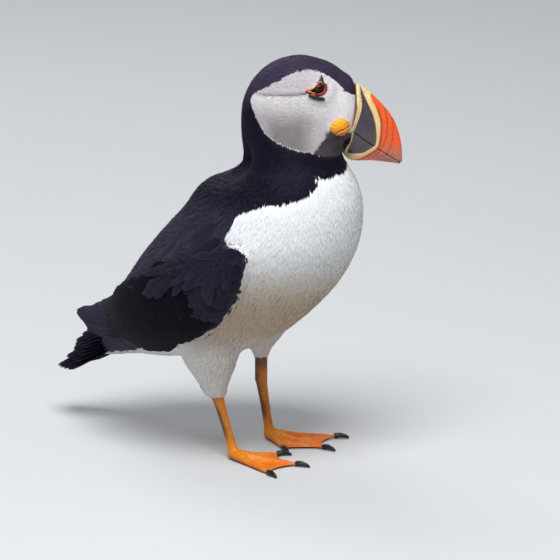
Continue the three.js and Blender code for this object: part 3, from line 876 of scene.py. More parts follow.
def vaneMesh(name, frames, wide, heights, colours, seed, **changes):
    shape = vaneShape | changes
    drawn = np.random.default_rng(seed)
    rows, columns = len(frames) - 1, shape["columns"]
    count = len(wide)
    shares = np.linspace(0, 1, rows + 1)
    across = np.linspace(-1, 1, columns)
    profile = np.interp(shares, *shape["profile"])
    top = np.empty((count, rows + 1, columns, 3))
    bottom = np.empty_like(top)
    facings = np.empty((count, 2, rows + 1, columns, 3))
    for k, (place, facing, way) in enumerate(frames):
        right = np.cross(way, facing)
        ragged = 1 - shape["notch"] * drawn.random((count, columns)) * (np.abs(across) == 1) * (k > 1)
        half = (wide / 2 * profile[k])[:, None] * across[None, :] * ragged
        shaft = shape["shaft"] * mm * (across == 0) * (1 - 0.7 * shares[k])
        fall = -shape["camber"] * np.abs(half) * np.abs(across) + shaft
        slip = (drawn.random((count, columns)) - 0.5) * shape["notch"] * wide[:, None] * (shares[k] > 0.7)
        middle = (place + facing * heights[k][:, None])[:, None, :]
        top[:, k] = middle + right[:, None] * half[..., None] + facing[:, None] * fall[..., None] \
            + way[:, None] * slip[..., None]
        slant = facing[:, None] + right[:, None] * (across * shape["roll"])[None, :, None]
        facings[:, 0, k] = slant
        facings[:, 1, k] = -slant
        thick = shape["thick"] * mm * (1 + 0.6 * (across == 0))[None, :, None]
        bottom[:, k] = top[:, k] - facing[:, None] * thick
    layer = (rows + 1) * columns
    points = np.concatenate([top.reshape(count, layer, 3), bottom.reshape(count, layer, 3)], axis=1)
    quads = []
    for k in range(rows):
        for i in range(columns - 1):
            a = k * columns + i
            quads.append((a, a + 1, a + columns + 1, a + columns))
            quads.append((layer + a, layer + a + columns, layer + a + columns + 1, layer + a + 1))
        first, last = k * columns, k * columns + columns - 1
        quads.append((first, first + columns, layer + first + columns, layer + first))
        quads.append((last, layer + last, layer + last + columns, last + columns))
    for i in range(columns - 1):
        far = rows * columns + i
        quads.append((i, layer + i, layer + i + 1, i + 1))
        quads.append((far, far + 1, layer + far + 1, layer + far))
    mesh = manyOf(name, points, quads, [])
    softShade(mesh, facings.reshape(-1, 3))
    along = np.tile(np.repeat(shares, columns), 2)
    side = np.tile(np.tile((across + 1) / 2, rows + 1), 2)
    own = colours(frames[0][0], along, side)
    paint(mesh, np.clip(own.reshape(-1, 3), 0, 1))
    layFlat(mesh, frames[0][0], side, along)
    return mesh


# Contour feathers of a seabird: keratin barbs that hold air, so they are matt with a soft sheen at a slant.
def featherMaterial(name, grain, sheen, rough, sheenTint, gleam, gloss=0.15, spread=0.1):
    material, tree, shader = newMaterial(name, Roughness=rough, IOR=1.54, Sheen_Weight=sheen,
                                         Sheen_Roughness=0.45)
    shader.inputs["Sheen Tint"].default_value = (*linear(sheenTint), 1)
    shader.inputs["Specular IOR Level"].default_value = gloss
    shader.inputs["Specular Tint"].default_value = (*linear(gleam), 1)
    tintedGrain(tree, shader, grain, 2.0, 1 - spread, 1 + 0.7 * spread)
    return material


blackDown = featherMaterial("blackContourFeather", 0.5, 0.05, 0.62, "#8f88c0", "#d6ceff")
whiteDown = featherMaterial("whiteContourFeather", 0.5, 0.05, 0.8, "#ffffff", "#ffffff", spread=0.05)
blackVane = featherMaterial("blackFlightFeather", 0.35, 0.02, 0.55, "#8f88c8", "#cfc6ff", gloss=0.06)


def constant(value):
    return lambda points: np.full(len(points), value * mm)


# Fields of the coat.
def inHead(points):
    return points[:, 2] > headFoot


def bareFace(points):
    head = toHead(points)
    bare = np.zeros(len(points), bool)
    crease = reachFrom(head[:, [0, 2]], eyeCrease)
    for sideName, side in sides.items():
        forward, high, far = roundEye(head, side)
        bare |= far < ringWidth(forward, high)
        bare |= (crease < 0.28) & (head[:, 0] > -13) & (head[:, 1] * side > 3)
        rosette = np.linalg.norm((points - nodeMiddle(f"gape_{sideName}")) / mm, axis=1)
        bare |= rosette < 4.7
    return bare | (head[:, 0] > 30.8)


# Where the wing's own broad feathers lie.
def underWing(points):
    flat = points[:, [0, 2]] / mm
    return (reachFrom(flat, wingOutline, True) > 2.5) & (np.abs(points[:, 1]) > wingInside)


# What kind of cover a place has: 0 black, 1 white, 2 none.
def zoneAt(points):
    white = np.maximum(whiteOnFace(points), whiteOnBody(points)) > 0.5
    bare = (points[:, 2] < (ankleAt(points) - 0.7) * mm) | (inHead(points) & bareFace(points))
    return np.where(bare, 2, white.astype(int))


# Lengths cut short where a blade would reach over into another kind of cover.
def keptInZone(spots, ways, long, drawn):
    zone = zoneAt(spots)
    kept = long.copy()
    for share in (1, 0.8, 0.62, 0.46, 0.32, 0.2):
        crosses = zoneAt(spots + ways * (long * share)[:, None]) != zone
        kept = np.where(crosses, long * share, kept)
    return np.where(kept < long, np.minimum(kept + (0.1 + 0.12 * drawn.random(len(long))) * long, long), long)


# The coats, each of one cover: where it grows, space between roots, and the size of its tufts in mm.
coats = {
    "faceFeathers": dict(
        keep=lambda p: inHead(p) & (whiteOnFace(p) > 0.5) & ~bareFace(p), cover="face", space=0.55, rings=2,
        long=constant(3), wide=constant(0.75), lift=constant(0.3), ridge=0.2, rootShade=0.94, swing=0.08,
        mottle=0.04, relief=0.12),
    "crownFeathers": dict(
        keep=lambda p: inHead(p) & (whiteOnFace(p) <= 0.5) & ~bareFace(p), cover="black", space=0.62, rings=2,
        long=constant(4), wide=constant(0.85), lift=constant(0.5), ridge=0.3),
    "neckFeathers": dict(
        keep=lambda p: ~inHead(p) & (p[:, 2] > neckFoot) & (whiteOnBody(p) <= 0.5), cover="black", space=0.95,
        rings=3, long=constant(7), wide=constant(1.25), lift=constant(0.7)),
    "breastFeathers": dict(
        keep=lambda p: ~inHead(p) & (p[:, 2] > breastFoot) & (whiteOnBody(p) > 0.5), cover="white", space=0.9,
        rings=3, long=constant(8), wide=constant(1.2), lift=constant(0.26), ridge=0.12, rootShade=0.97,
        mottle=0.02, swing=0.06, relief=0.08),
    "bellyFeathers": dict(
        keep=lambda p: (p[:, 2] <= breastFoot) & (p[:, 2] > (ankleAt(p) - 0.5) * mm) & (whiteOnBody(p) > 0.5),
        cover="white", space=0.98, rings=3,
        long=lambda p: (3.2 + 5.3 * smoothStep(1, 15, p[:, 2] / mm - ankleAt(p))) * mm,
        wide=constant(1.3), lift=constant(0.5), ridge=0.18, rootShade=0.93, mottle=0.05, relief=0.14),
    "backFeathers": dict(
        keep=lambda p: ~inHead(p) & (p[:, 2] <= neckFoot) & (whiteOnBody(p) <= 0.5) & ~underWing(p),
        cover="black", space=1.1, rings=3, long=constant(8.5), wide=constant(1.7), lift=constant(0.9)),
}
coverLooks = {
    "face": (whiteDown, "face_feathers"),
    "black": (blackDown, "black_plumage"),
    "white": (whiteDown, "white_plumage"),
}
# What a coat's tufts are unless it says otherwise: shares that vary them, then their form and shading.
tuftPlan = {
    "vary": 0.2,
    "swing": 0.12,
    "curl": 0.15,
    "sink": 0.25,  # mm of the root under the skin
    "rise": 1.4,
    "ridge": 0.35,
    "mottle": 0.16,
    "relief": 0.28,
    "rootShade": 0.72,
    "profile": ([0, 0.2, 0.6, 1], [0, 0.8, 1, 0]),
}


def finishPiece(name, mesh, material, slotName, *nodes):
    mesh.materials.clear()
    mesh.materials.append(material)
    piece = newObject(name, mesh)
    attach(piece, "root")
    if nodes:
        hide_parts(*nodes)
    print("puffin:", name, len(mesh.loops) - 2 * len(mesh.polygons), "triangles")


def growCoat(name, plan, seed):
    spots, normals = scatter(plan["keep"], constant(plan["space"]), seed)
    mesh = tuftMesh(name, spots, normals, tuftPlan | plan,
                    lambda points: plumageColour(points, plan["cover"]), seed + 100)
    finishPiece(name, mesh, *coverLooks[plan["cover"]])


for number, (name, plan) in enumerate(coats.items()):
    growCoat(name, plan, number + 1)


# Broad feathers are laid on smooth fields beside the bird.
gridStep = 2.0  # mm between a field's places
fillRounds = 260  # enough to carry it on to its rim


# The bird's flank as a height over the upright plane along it: how far out the given nodes reach at each
# place, smoothed, and carried on past their edges so that feathers can stand over them.
def flankField(side, nodes, rounds):
    tree, _ = solidsTree(nodes)
    xs, zs = np.arange(-104, 90, gridStep), np.arange(20, 156, gridStep)
    out = np.full((len(xs), len(zs)), np.nan)
    for i, x in enumerate(xs):
        for k, z in enumerate(zs):
            hit, _, _, _ = tree.ray_cast(Vector((x * mm, side * 0.2, z * mm)), Vector((0, -side, 0)))
            if hit is not None and hit.y * side > 2 * mm:
                out[i, k] = hit.y * side / mm
    known = ~np.isnan(out)
    filled = np.where(known, out, np.nanmean(out))
    for turn in range(fillRounds + rounds):
        edge = np.pad(filled, 1, mode="edge")
        spread = (edge[:-2, 1:-1] + edge[2:, 1:-1] + edge[1:-1, :-2] + edge[1:-1, 2:]) / 4
        filled = np.where(known & (turn < fillRounds), filled, spread)
    slopes = np.gradient(filled, gridStep)

    def at(x, z):
        a = np.clip((x - xs[0]) / gridStep, 0, len(xs) - 1.001)
        b = np.clip((z - zs[0]) / gridStep, 0, len(zs) - 1.001)
        i, k = a.astype(int), b.astype(int)
        s, t = a - i, b - k
        return [(1 - s) * (1 - t) * grid[i, k] + s * (1 - t) * grid[i + 1, k] + (1 - s) * t * grid[i, k + 1]
                + s * t * grid[i + 1, k + 1] for grid in (filled, *slopes)]
    return at


# Leads feathers over a field, each from its own start and heading in the plane: places, outward ways and
# ways.
def overField(field, side, starts, headings, long, shares):
    flat = np.array(starts, float)
    frames = []
    for k, share in enumerate(shares):
        height, slopeX, slopeZ = field(flat[:, 0], flat[:, 1])
        facing = unit(np.stack([-slopeX, np.full(len(flat), float(side)), -slopeZ], 1))
        out = side * (slopeX * headings[:, 0] + slopeZ * headings[:, 1])
        way = unit(np.stack([headings[:, 0], out, headings[:, 1]], 1))
        frames.append((np.stack([flat[:, 0], side * height, flat[:, 1]], 1) * mm, facing, way))
        if k + 1 < len(shares):
            step = long * (shares[k + 1] - share)
            flat = flat + way[:, [0, 2]] * step[:, None]
    return frames


# Joins meshes that carry the same layers into one, the first keeping its name.
def joinedMesh(meshes):
    pieces = [newObject(mesh.name, mesh) for mesh in meshes]
    with bpy.context.temp_override(active_object=pieces[0], selected_objects=pieces,
                                   selected_editable_objects=pieces):
        bpy.ops.object.join()
    mesh = pieces[0].data
    bpy.data.objects.remove(pieces[0])
    return mesh


rimHighlight = 0.9  # how much lighter a black feather is painted at its rim and tip: a painted highlight


def blackVaneColour(seed, worn, base):
    def colours(roots, along, side):
        drawn = np.random.default_rng(seed)
        level = 0.8 + 0.5 * drawn.random(len(roots)) * softNoise(roots, 12 * mm, 8)
        # Painted highlight on the rims and tips; painted shade towards the root, where the feather over it
        # covers it.
        edge = np.clip(np.abs(side - 0.5) * 2, 0, 1) ** 3 * 0.5 + smoothStep(0.75, 1, along) * 0.6
        tone = (1 + rimHighlight * edge)[None, :] * level[:, None] * (0.75 + 0.25 * along)[None, :]
        faded = worn * drawn.random(len(roots))[:, None] * smoothStep(0.3, 1, along)[None, :]
        return mixed(plumage[base][None, None, :], plumage["worn"][None, None, :], faded) * tone[..., None]
    return colours


wingBack = np.array([-0.878, -0.479])  # from the wrist to the tip, along the bird and up
wrist = np.array([48.0, 117.0])
# Scale-like coverts: the stretch they fill behind the wrist, space between roots, size and layer, in mm.
coverts = {
    "lesserCoverts": dict(span=(-14, 42), space=2.5, long=8.5, wide=5.4, lift=0.5, rows=5, swing=0.16,
                          layer=0.6, base="ruffle"),
    "medianCoverts": dict(span=(32, 66), space=3.9, long=13, wide=8, lift=0.7, rows=6, swing=0.12, layer=1.1,
                          base="vane"),
    "greaterCoverts": dict(span=(56, 80), space=4.6, long=18, wide=9, lift=0.8, rows=7, swing=0.08, layer=1.3,
                           base="vane"),
}
# Long feathers in rows: the first and last root and tip, [along, up] in mm, from the lowest to the uppermost.
flankRows = {
    "secondaries": dict(roots=[[27, 81.5], [22, 85], [12, 90], [4, 93]],
                        tips=[[4, 68], [-21, 59.5], [-47, 55.5], [-57, 70]], count=16, wide=9,
                        layer=[0.2, 1.3], field="wing", bend=0.0, loose=0.8, lift=0.4, base="vane"),
    "wingRuffle": dict(roots=[[43, 117], [8, 102]], tips=[[24, 107.5], [-15, 89]], count=26, wide=5.4,
                       layer=[1.2, 1.7], field="wing", bend=0.3, loose=2.2, lift=1.3, base="ruffle"),
    "scapularsLow": dict(roots=[[35, 126], [-14, 101.5]], tips=[[14, 111], [-36, 87]], count=19, wide=8.5,
                         layer=[0.9, 1.2], field="flank", bend=0.05, loose=0.8, lift=0.9, base="ruffle"),
    # The upper scapulars take the lighter blue-grey, partly a painted sheen.
    "scapularsHigh": dict(roots=[[32, 134], [-8, 110]], tips=[[14, 118.5], [-27, 97]], count=18, wide=8.5,
                          layer=[0.7, 1.0], field="flank", bend=0.05, loose=0.8, lift=0.8, base="flight"),
}


# Places at shares of the way along a line of points evenly counted.
def placesOn(line, shares):
    line = np.array(line, float)
    steps = np.linspace(0, 1, len(line))
    return np.stack([np.interp(shares, steps, line[:, k]) for k in range(line.shape[1])], 1)


covertRows = 60  # tried across the wing and along it, more than ever fit


# Rows of roots over the whole wing, parallel to its hind end, each shaken a little.
def covertRoots(plan, drawn):
    rise = np.array([wingBack[1], -wingBack[0]])
    starts = []
    for row in range(covertRows):
        for step in range(covertRows):
            behind = plan["span"][1] - row * plan["space"] * 0.9
            above = (step - covertRows / 2 + 0.5 * (row % 2)) * plan["space"]
            spot = wrist + wingBack * behind + rise * above + plan["space"] * 0.22 * drawn.normal(size=2)
            if plan["span"][0] < behind:
                starts.append(spot)
    starts = np.array(starts)
    return starts[reachFrom(starts, wingOutline, True) > 0.4]


def covertMesh(name, plan, field, side, number):
    drawn = np.random.default_rng(number + 5)
    starts = covertRoots(plan, drawn)
    count = len(starts)
    size = 0.88 + 0.24 * drawn.random(count)
    behind = (starts - wrist) @ wingBack
    turn = np.arctan2(wingBack[1], wingBack[0]) + plan["swing"] * drawn.normal(size=count)
    turn = turn + 0.5 * smoothStep(25, -5, behind)  # the foremost point down along the rim
    headings = np.stack([np.cos(turn), np.sin(turn)], 1)
    shares = np.linspace(0, 1, plan["rows"] + 1)
    frames = overField(field, side, starts, headings, plan["long"] * size, shares)
    lift = plan["lift"] * mm * (0.6 + 0.8 * drawn.random(count))
    tuck = 0.35 * smoothStep(2.5, 0, reachFrom(starts, wingOutline, True))
    layers = [plan["layer"] - 0.9 * (1 - share) ** 2 - tuck for share in shares]
    heights = [lift * share ** 0.9 + layer * mm for share, layer in zip(shares, layers)]
    return vaneMesh(name, frames, plan["wide"] * mm * size, heights,
                    blackVaneColour(number + 30, 0.03, plan["base"]), number + 40)


def rowMesh(name, plan, field, side, number):
    drawn = np.random.default_rng(number + 50)
    count = plan["count"]
    order = np.linspace(0, 1, count)
    starts = placesOn(plan["roots"], order) + drawn.normal(size=(count, 2)) * plan["loose"]
    ends = placesOn(plan["tips"], order) + drawn.normal(size=(count, 2)) * plan["loose"]
    long = np.linalg.norm(ends - starts, axis=1)
    turn = np.arctan2(*(ends - starts).T[::-1]) + plan["bend"] * drawn.normal(size=count)
    headings = np.stack([np.cos(turn), np.sin(turn)], 1)
    shares = np.linspace(0, 1, 9)
    frames = overField(field, side, starts, headings, long, shares)
    layer = plan["layer"][0] + (plan["layer"][1] - plan["layer"][0]) * order
    lift = plan["lift"] * (0.6 + 0.8 * drawn.random(count))
    heights = [(layer - 1.3 * (1 - share) ** 2 + lift * share) * mm for share in shares]
    wide = plan["wide"] * mm * (0.9 + 0.2 * drawn.random(count))
    return vaneMesh(name, frames, wide, heights, blackVaneColour(number + 60, 0.1, plan["base"]), number + 70,
                    columns=7)


def growWing(side, sideName, fields):
    meshes = [covertMesh(name, plan, fields["wing"], side, number)
              for number, (name, plan) in enumerate(coverts.items())]
    meshes += [rowMesh(name, plan, fields[plan["field"]], side, number)
               for number, (name, plan) in enumerate(flankRows.items())]
    finishPiece(f"wingFeathers{sideName}", joinedMesh(meshes), blackVane, "loose_black_feathers")


for sideName, side in sides.items():
    fields = {"wing": flankField(side, [f"wing_{sideName}", f"flight_{sideName}"], 3),
              "flank": flankField(side, [f"wing_{sideName}", "trunk", "rump", "neck"], 6)}
    growWing(side, sideName.title(), fields)


# Flight feathers past the tail's root, and the tail.
# A fan of long feathers on a blade: stations are [x, out, z, half width, lean in degrees] in mm.
flightPlan = {
    "stations": [[-8, 33, 72, 9, 36], [-36, 27, 67, 10, 32], [-52, 21, 64, 12, 26], [-66, 14.5, 62, 9.5, 20],
                 [-80, 9.7, 61.6, 6.4, 14]],
    "rootAt": 0.12,  # how far along their roots are
    "count": 8,
    "across": [[0.9, 0.72], [-0.75, -0.8]],  # of the uppermost and the lowest, at root and tip
    "reach": [0.66, 0.99, 0.9],  # how far along the tips of the upper, middle and lower ones come
    "wide": 8.5,
    "curl": 1.5,
}
# The tail and the rows of coverts over its root, from the lowest: fall is in degrees under level, and the
# outermost feathers reach less by the share shorter. The rest is alike in most of them.
tailPlan = {"count": 13, "halfWidth": [8, 9], "camber": 4, "wide": 9.5, "base": "tail"}
tailRows = {
    "rectrices": dict(root=[-52, 0, 55.8], fall=31, length=55.2, shorter=0.2, halfWidth=[7, 10], camber=4.5),
    "lowestCoverts": dict(root=[-50, 0, 58.4], fall=29.9, length=50.3, shorter=0.16),
    "lowCoverts": dict(root=[-47, 0, 61], fall=28.5, length=48, shorter=0.12),
    "innerCoverts": dict(root=[-46, 0, 62.5], fall=27.3, length=47.4, shorter=0.14),
    "midCoverts": dict(root=[-45, 0, 64], fall=26.3, length=47, shorter=0.12),
    "outerCoverts": dict(root=[-44, 0, 65.5], fall=25.2, length=43.7, shorter=0.14),
    "highCoverts": dict(root=[-43, 0, 67], fall=24, length=41, shorter=0.14, halfWidth=[8, 8], camber=3.5,
                        base="ruffle"),
}


# Places, outward ways and ways along paths given as points of shape (shares, count, 3) with facings alike.
def framesOf(points, facings):
    frames = []
    for place, facing, way in zip(points, facings, unit(np.gradient(points, axis=0))):
        facing = unit(facing - np.einsum("ij,ij->i", facing, way)[:, None] * way)
        frames.append((place, facing, way))
    return frames


def growFlight(side, sideName):
    plan = flightPlan
    count = plan["count"]
    order = np.linspace(0, 1, count)
    drawn = np.random.default_rng(91)
    far = np.interp(order, [0, 0.45, 1], plan["reach"]) + 0.012 * drawn.normal(size=count)
    shares = np.linspace(0, 1, 12)
    points, facings = [], []
    (rootFirst, tipFirst), (rootLast, tipLast) = plan["across"]
    rootAcross = rootFirst + (rootLast - rootFirst) * order
    tipAcross = tipFirst + (tipLast - tipFirst) * order
    for share in shares:
        place = plan["rootAt"] + (far - plan["rootAt"]) * share
        x, out, z, half, lean = placesOn(plan["stations"], place).T
        across = rootAcross + (tipAcross - rootAcross) * share
        tilt = np.radians(lean)
        rise = np.stack([np.zeros(count), -side * np.sin(tilt), np.cos(tilt)], 1)
        outward = np.stack([np.zeros(count), side * np.cos(tilt), np.sin(tilt)], 1)
        middle = np.stack([x, side * out, z], 1)
        inner = np.clip(np.abs(half) - 0.35 * plan["wide"], 1, None)
        curl = plan["curl"] * (1 - across ** 2)
        points.append(middle + rise * (inner * across)[:, None] + outward * curl[:, None])
        facings.append(outward + 0.25 * rise * across[:, None])
    frames = framesOf(np.array(points) * mm, np.array(facings))
    layer = 0.35 + 2.4 * (1 - order)
    heights = [(layer + 0.25 * share) * mm for share in shares]
    wide = plan["wide"] * mm * (0.95 + 0.1 * drawn.random(count))
    # The primaries' lighter blue-grey is partly a painted sheen.
    mesh = vaneMesh(f"primaries{sideName}", frames, wide, heights, blackVaneColour(92, 0.2, "flight"), 93,
                    columns=9, camber=0.1, shaft=0.35,
                    profile=([0, 0.1, 0.5, 0.8, 0.92, 1], [0.3, 0.75, 1, 0.95, 0.75, 0.2]))
    finishPiece(f"primaries{sideName}", mesh, blackVane, "loose_black_feathers", f"flight_{sideName.lower()}")


def tailFan(name, plan, seed):
    fall = math.radians(plan["fall"])
    alongWay = np.array([-math.cos(fall), 0, -math.sin(fall)])
    upWay = np.array([-math.sin(fall), 0, math.cos(fall)])
    across = np.linspace(-1, 1, plan["count"])
    drawn = np.random.default_rng(seed)
    shares = np.linspace(0, 1, 11)
    points, facings = [], []
    for share in shares:
        long = plan["length"] * (1 - plan["shorter"] * across ** 2) * share
        half = plan["halfWidth"][0] + (plan["halfWidth"][1] - plan["halfWidth"][0]) * share
        points.append(np.array(plan["root"]) + alongWay * long[:, None]
                      + np.array([0, 1, 0]) * (half * across)[:, None]
                      - upWay * (plan["camber"] * across ** 2)[:, None])
        facings.append(upWay + np.array([0, 0.5, 0]) * across[:, None])
    frames = framesOf(np.array(points) * mm, np.array(facings))
    layer = 1.1 * (1 - np.abs(across)) + 0.1 * drawn.random(len(across))
    heights = [(layer - 0.6 * share) * mm for share in shares]
    return vaneMesh(name, frames, plan["wide"] * mm * np.ones(len(across)), heights,
                    blackVaneColour(seed + 1, 0.12, plan["base"]), seed + 2, columns=9, camber=0.06,
                    shaft=0.25, roll=0.16,
                    profile=([0, 0.1, 0.5, 0.75, 0.9, 1], [0.3, 0.75, 1, 0.95, 0.72, 0.2]))


def growTail():
    fans = [tailFan("tailFeathers", tailPlan | row, 94 + 3 * number)
            for number, row in enumerate(tailRows.values())]
    finishPiece("tailFeathers", joinedMesh(fans), blackVane, "loose_black_feathers", "tail")


for sideName, side in sides.items():
    growFlight(side, sideName.title())
growTail()


# Bill: horn plates, ridges and grooves, in mm from the side in the head's frame.
billLines = {
    "plate": [[32.6, 9.8], [33.6, 1.4], [33.2, -2.7], [31.6, -7.8], [29.6, -13], [28.4, -18], [26.8, -22],
              [26.2, -25], [28.8, -25.4], [33.6, -25], [37.2, -23.1], [40.6, -20.6], [41.2, -18], [41.3, -15],
              [40.8, -9.8], [39.4, -4.6], [37, 0.6], [34.9, 5]],
    "ridge": [[39.6, 12], [38.2, 5], [41, -1.2], [43, -7.4], [43.4, -12.6], [42.8, -18.3], [41.4, -22.2],
              [37.7, -24.9], [33.5, -27.6], [29.8, -29], [20, -31], [10, -10], [20, 16], [32, 18]],
    "firstGroove": [[45.2, 0], [46.6, -7], [46.7, -14], [45.2, -20.2], [42.6, -24.6], [39.5, -27.5]],
    "secondGroove": [[48.2, -3], [49.8, -10], [49.8, -16.5], [48.6, -22.4], [46.2, -26.6]],
}
billColours = linearAll({
    "plate": "#413a47",
    "plateLow": "#4d4444",
    "ridge": "#e8c98e",
    "ridgeShade": "#c0904a",
    "red": "#f55c0c",
    "redSide": "#e45b2d",
    "redShade": "#9a3e18",
    "wornTip": "#8d766c",
    "tipEdge": "#5e4c49",
    "creamBase": "#ead39a",
    "baseShade": "#7a5638",
})
billPlate = smoothLine(billLines["plate"], closed=True)
billRidge = smoothLine(billLines["ridge"], closed=True)
grooves = [smoothLine(billLines[name]) for name in ("firstGroove", "secondGroove")]


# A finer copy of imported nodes, its facets smoothed away.
def refinedCopy(name, nodes, voxel, rounds, keep=1.0, grow=0.0):
    mesh = nodeCopies(name, nodes, grow)
    mesh = modified(mesh, ("REMESH", {"mode": "VOXEL", "voxel_size": voxel * mm}))
    relax(mesh, np.full(len(mesh.vertices), 0.5), rounds, keepSize=True)
    steps = [("TRIANGULATE", {})] + ([("DECIMATE", {"ratio": keep})] if keep < 1 else [])
    return modified(mesh, *steps)


def pushOut(mesh, move):
    points, normals = shapeOf(mesh)
    points += normals * (move * mm)[:, None]
    setPoints(mesh, points)
    setSmooth(mesh)
    mesh.update()


# Distances in mm from the lines of the bill: into the horn plate, into the ridge, and the grooves' depth.
def billForm(points):
    flat = toHead(points)[:, [0, 2]]
    inPlate = reachFrom(flat, billPlate, True)
    inRidge = reachFrom(flat, billRidge, True)
    cuts = np.max([np.exp(-(reachFrom(flat, line) / 0.38) ** 2) for line in grooves], axis=0)
    return flat, inPlate, inRidge, cuts


def billTint(points, flat, inPlate, inRidge, cuts):
    fine = softNoise(points, 0.9 * mm, 11)
    broad = softNoise(points, 4 * mm, 12)
    streak = softNoise(np.stack([flat @ [0.5, 0.87] * 4, flat @ [0.87, -0.5], flat[:, 0] * 0], 1), 0.9, 13)
    plate = mixed(billColours["plate"], billColours["plateLow"], smoothStep(-8, -18, flat[:, 1]))
    plate = plate * (0.85 + 0.3 * fine)[:, None]
    seams = np.clip(0.7 * np.exp(-(inRidge / 0.35) ** 2) + 0.5 * (broad - 0.35), 0, 1)
    ridge = mixed(billColours["ridge"], billColours["ridgeShade"], seams)
    culmen = smoothStep(4, 0.5, np.abs(toHead(points)[:, 1]))
    red = mixed(billColours["redSide"], billColours["red"], np.clip(culmen + 0.6 * broad - 0.2, 0, 1))
    shaded = 0.85 * smoothStep(-1.7, -0.3, inRidge) * smoothStep(4, -4, flat[:, 1])
    red = mixed(red, billColours["redShade"], np.clip(shaded + 0.8 * cuts, 0, 1))
    low = smoothStep(9.5, 2, np.hypot((flat[:, 0] - 50) * 0.55, flat[:, 1] + 28.5))
    red = mixed(red, billColours["wornTip"], low * smoothStep(0.2, 0.5, streak) * 0.95)
    edge = smoothStep(2.2, 0.4, np.hypot(flat[:, 0] - 53.6, flat[:, 1] + 31))
    red = mixed(red, billColours["tipEdge"], edge * 0.8)
    colour = mixed(red, ridge, smoothStep(-0.25, 0.25, inRidge))
    colour = mixed(colour, plate, smoothStep(-0.2, 0.25, inPlate))
    return colour * (0.94 + 0.12 * fine)[:, None]


def makeBillPart(name, node):
    mesh = refinedCopy(name, [node], 0.4, 14)
    points, _ = shapeOf(mesh)
    flat, inPlate, inRidge, cuts = billForm(points)
    ridgeShare = smoothStep(-0.25, 0.25, inRidge) * smoothStep(0.25, -0.25, inPlate)
    growth = np.sin(inPlate * 2.1) * smoothStep(0.5, 1.5, inPlate)
    lines = np.sin(inRidge * 3.4) * smoothStep(-0.6, -1.6, inRidge)
    pushOut(mesh, 0.3 * ridgeShare - 0.26 * cuts - 0.12 * smoothStep(0, 0.8, inPlate) + 0.025 * growth
            + 0.02 * lines)
    paint(mesh, billTint(points, flat, inPlate, inRidge, cuts))
    finishPiece(name, mesh, hornMaterial, "red_horn", node)


# Keratin of a bill: dense and faintly oily, so it takes a soft broad highlight over scratches and pores.
def billKeratin():
    material, tree, shader = newMaterial("billKeratin", Roughness=0.38, IOR=1.55)
    shader.inputs["Subsurface Weight"].default_value = 0.05
    shader.inputs["Subsurface Scale"].default_value = 0.6 * mm
    pores = tintedGrain(tree, shader, 1.1, 5.0, 0.86, 1.1)
    worn = addNode(tree, "ShaderNodeMapRange", {"Value": pores, "From Min": 0.35, "From Max": 0.7,
                                                "To Min": 0.3, "To Max": 0.5})
    relief = addNode(tree, "ShaderNodeBump", {"Height": pores, "Strength": 0.25, "Distance": 0.12 * mm})
    tree.links.new(worn.outputs["Result"], shader.inputs["Roughness"])
    tree.links.new(relief.outputs["Normal"], shader.inputs["Normal"])
    return material


hornMaterial = billKeratin()
makeBillPart("billUpper", "bill_upper")
makeBillPart("billLower", "bill_lower")


def makeBillBase():
    mesh = refinedCopy("billBase", ["bill_base"], 0.3, 10, grow=0.12 * mm)
    points, _ = shapeOf(mesh)
    flat = toHead(points)[:, [0, 2]]
    rear = np.interp(flat[:, 1], [-13, -9.8, -6.1, -0.9, 4.5, 10], [27.6, 28.9, 30, 31.1, 30.6, 30.2])
    behind = flat[:, 0] - rear
    fine = softNoise(points, 0.8 * mm, 14)
    pushOut(mesh, 0.12 * (fine - 0.5))
    shaded = np.clip(smoothStep(0.9, 0.1, behind) + 0.35 * (fine > 0.72), 0, 1)
    colour = mixed(billColours["creamBase"], billColours["baseShade"], shaded)
    paint(mesh, colour * (0.92 + 0.16 * fine)[:, None])
    finishPiece("billBase", mesh, hornMaterial, "pale_horn", "bill_base")


makeBillBase()


# Eyes: the ball, brown round the pupil, under a wet cornea.
eyeColours = linearAll({
    "pupil": "#050405",
    "iris": "#2a1a16",
    "irisRim": "#5a3420",
    "ball": "#1d1413",
})
ballPlan = {
    "radius": 3.9,
    "irisRadius": 2.15,
    "pupilRadius": 1.25,
    "corneaRise": 0.35,
    "gaze": [0.5, 0.86, -0.06],
}


# The ball's colour at off mm from the line of sight, bearing radians round it.
def eyeTint(off, bearing):
    ray = 0.5 + 0.5 * math.sin(bearing * 23 + 3 * math.sin(bearing * 7))
    outer = float(smoothStep(1.2, 2.0, off))
    iris = mixed(eyeColours["iris"], eyeColours["irisRim"], outer * (0.5 + 0.5 * ray))
    colour = mixed(eyeColours["pupil"], iris, float(smoothStep(-0.08, 0.08, off - ballPlan["pupilRadius"])))
    return mixed(colour, eyeColours["ball"], float(smoothStep(-0.12, 0.12, off - ballPlan["irisRadius"])))


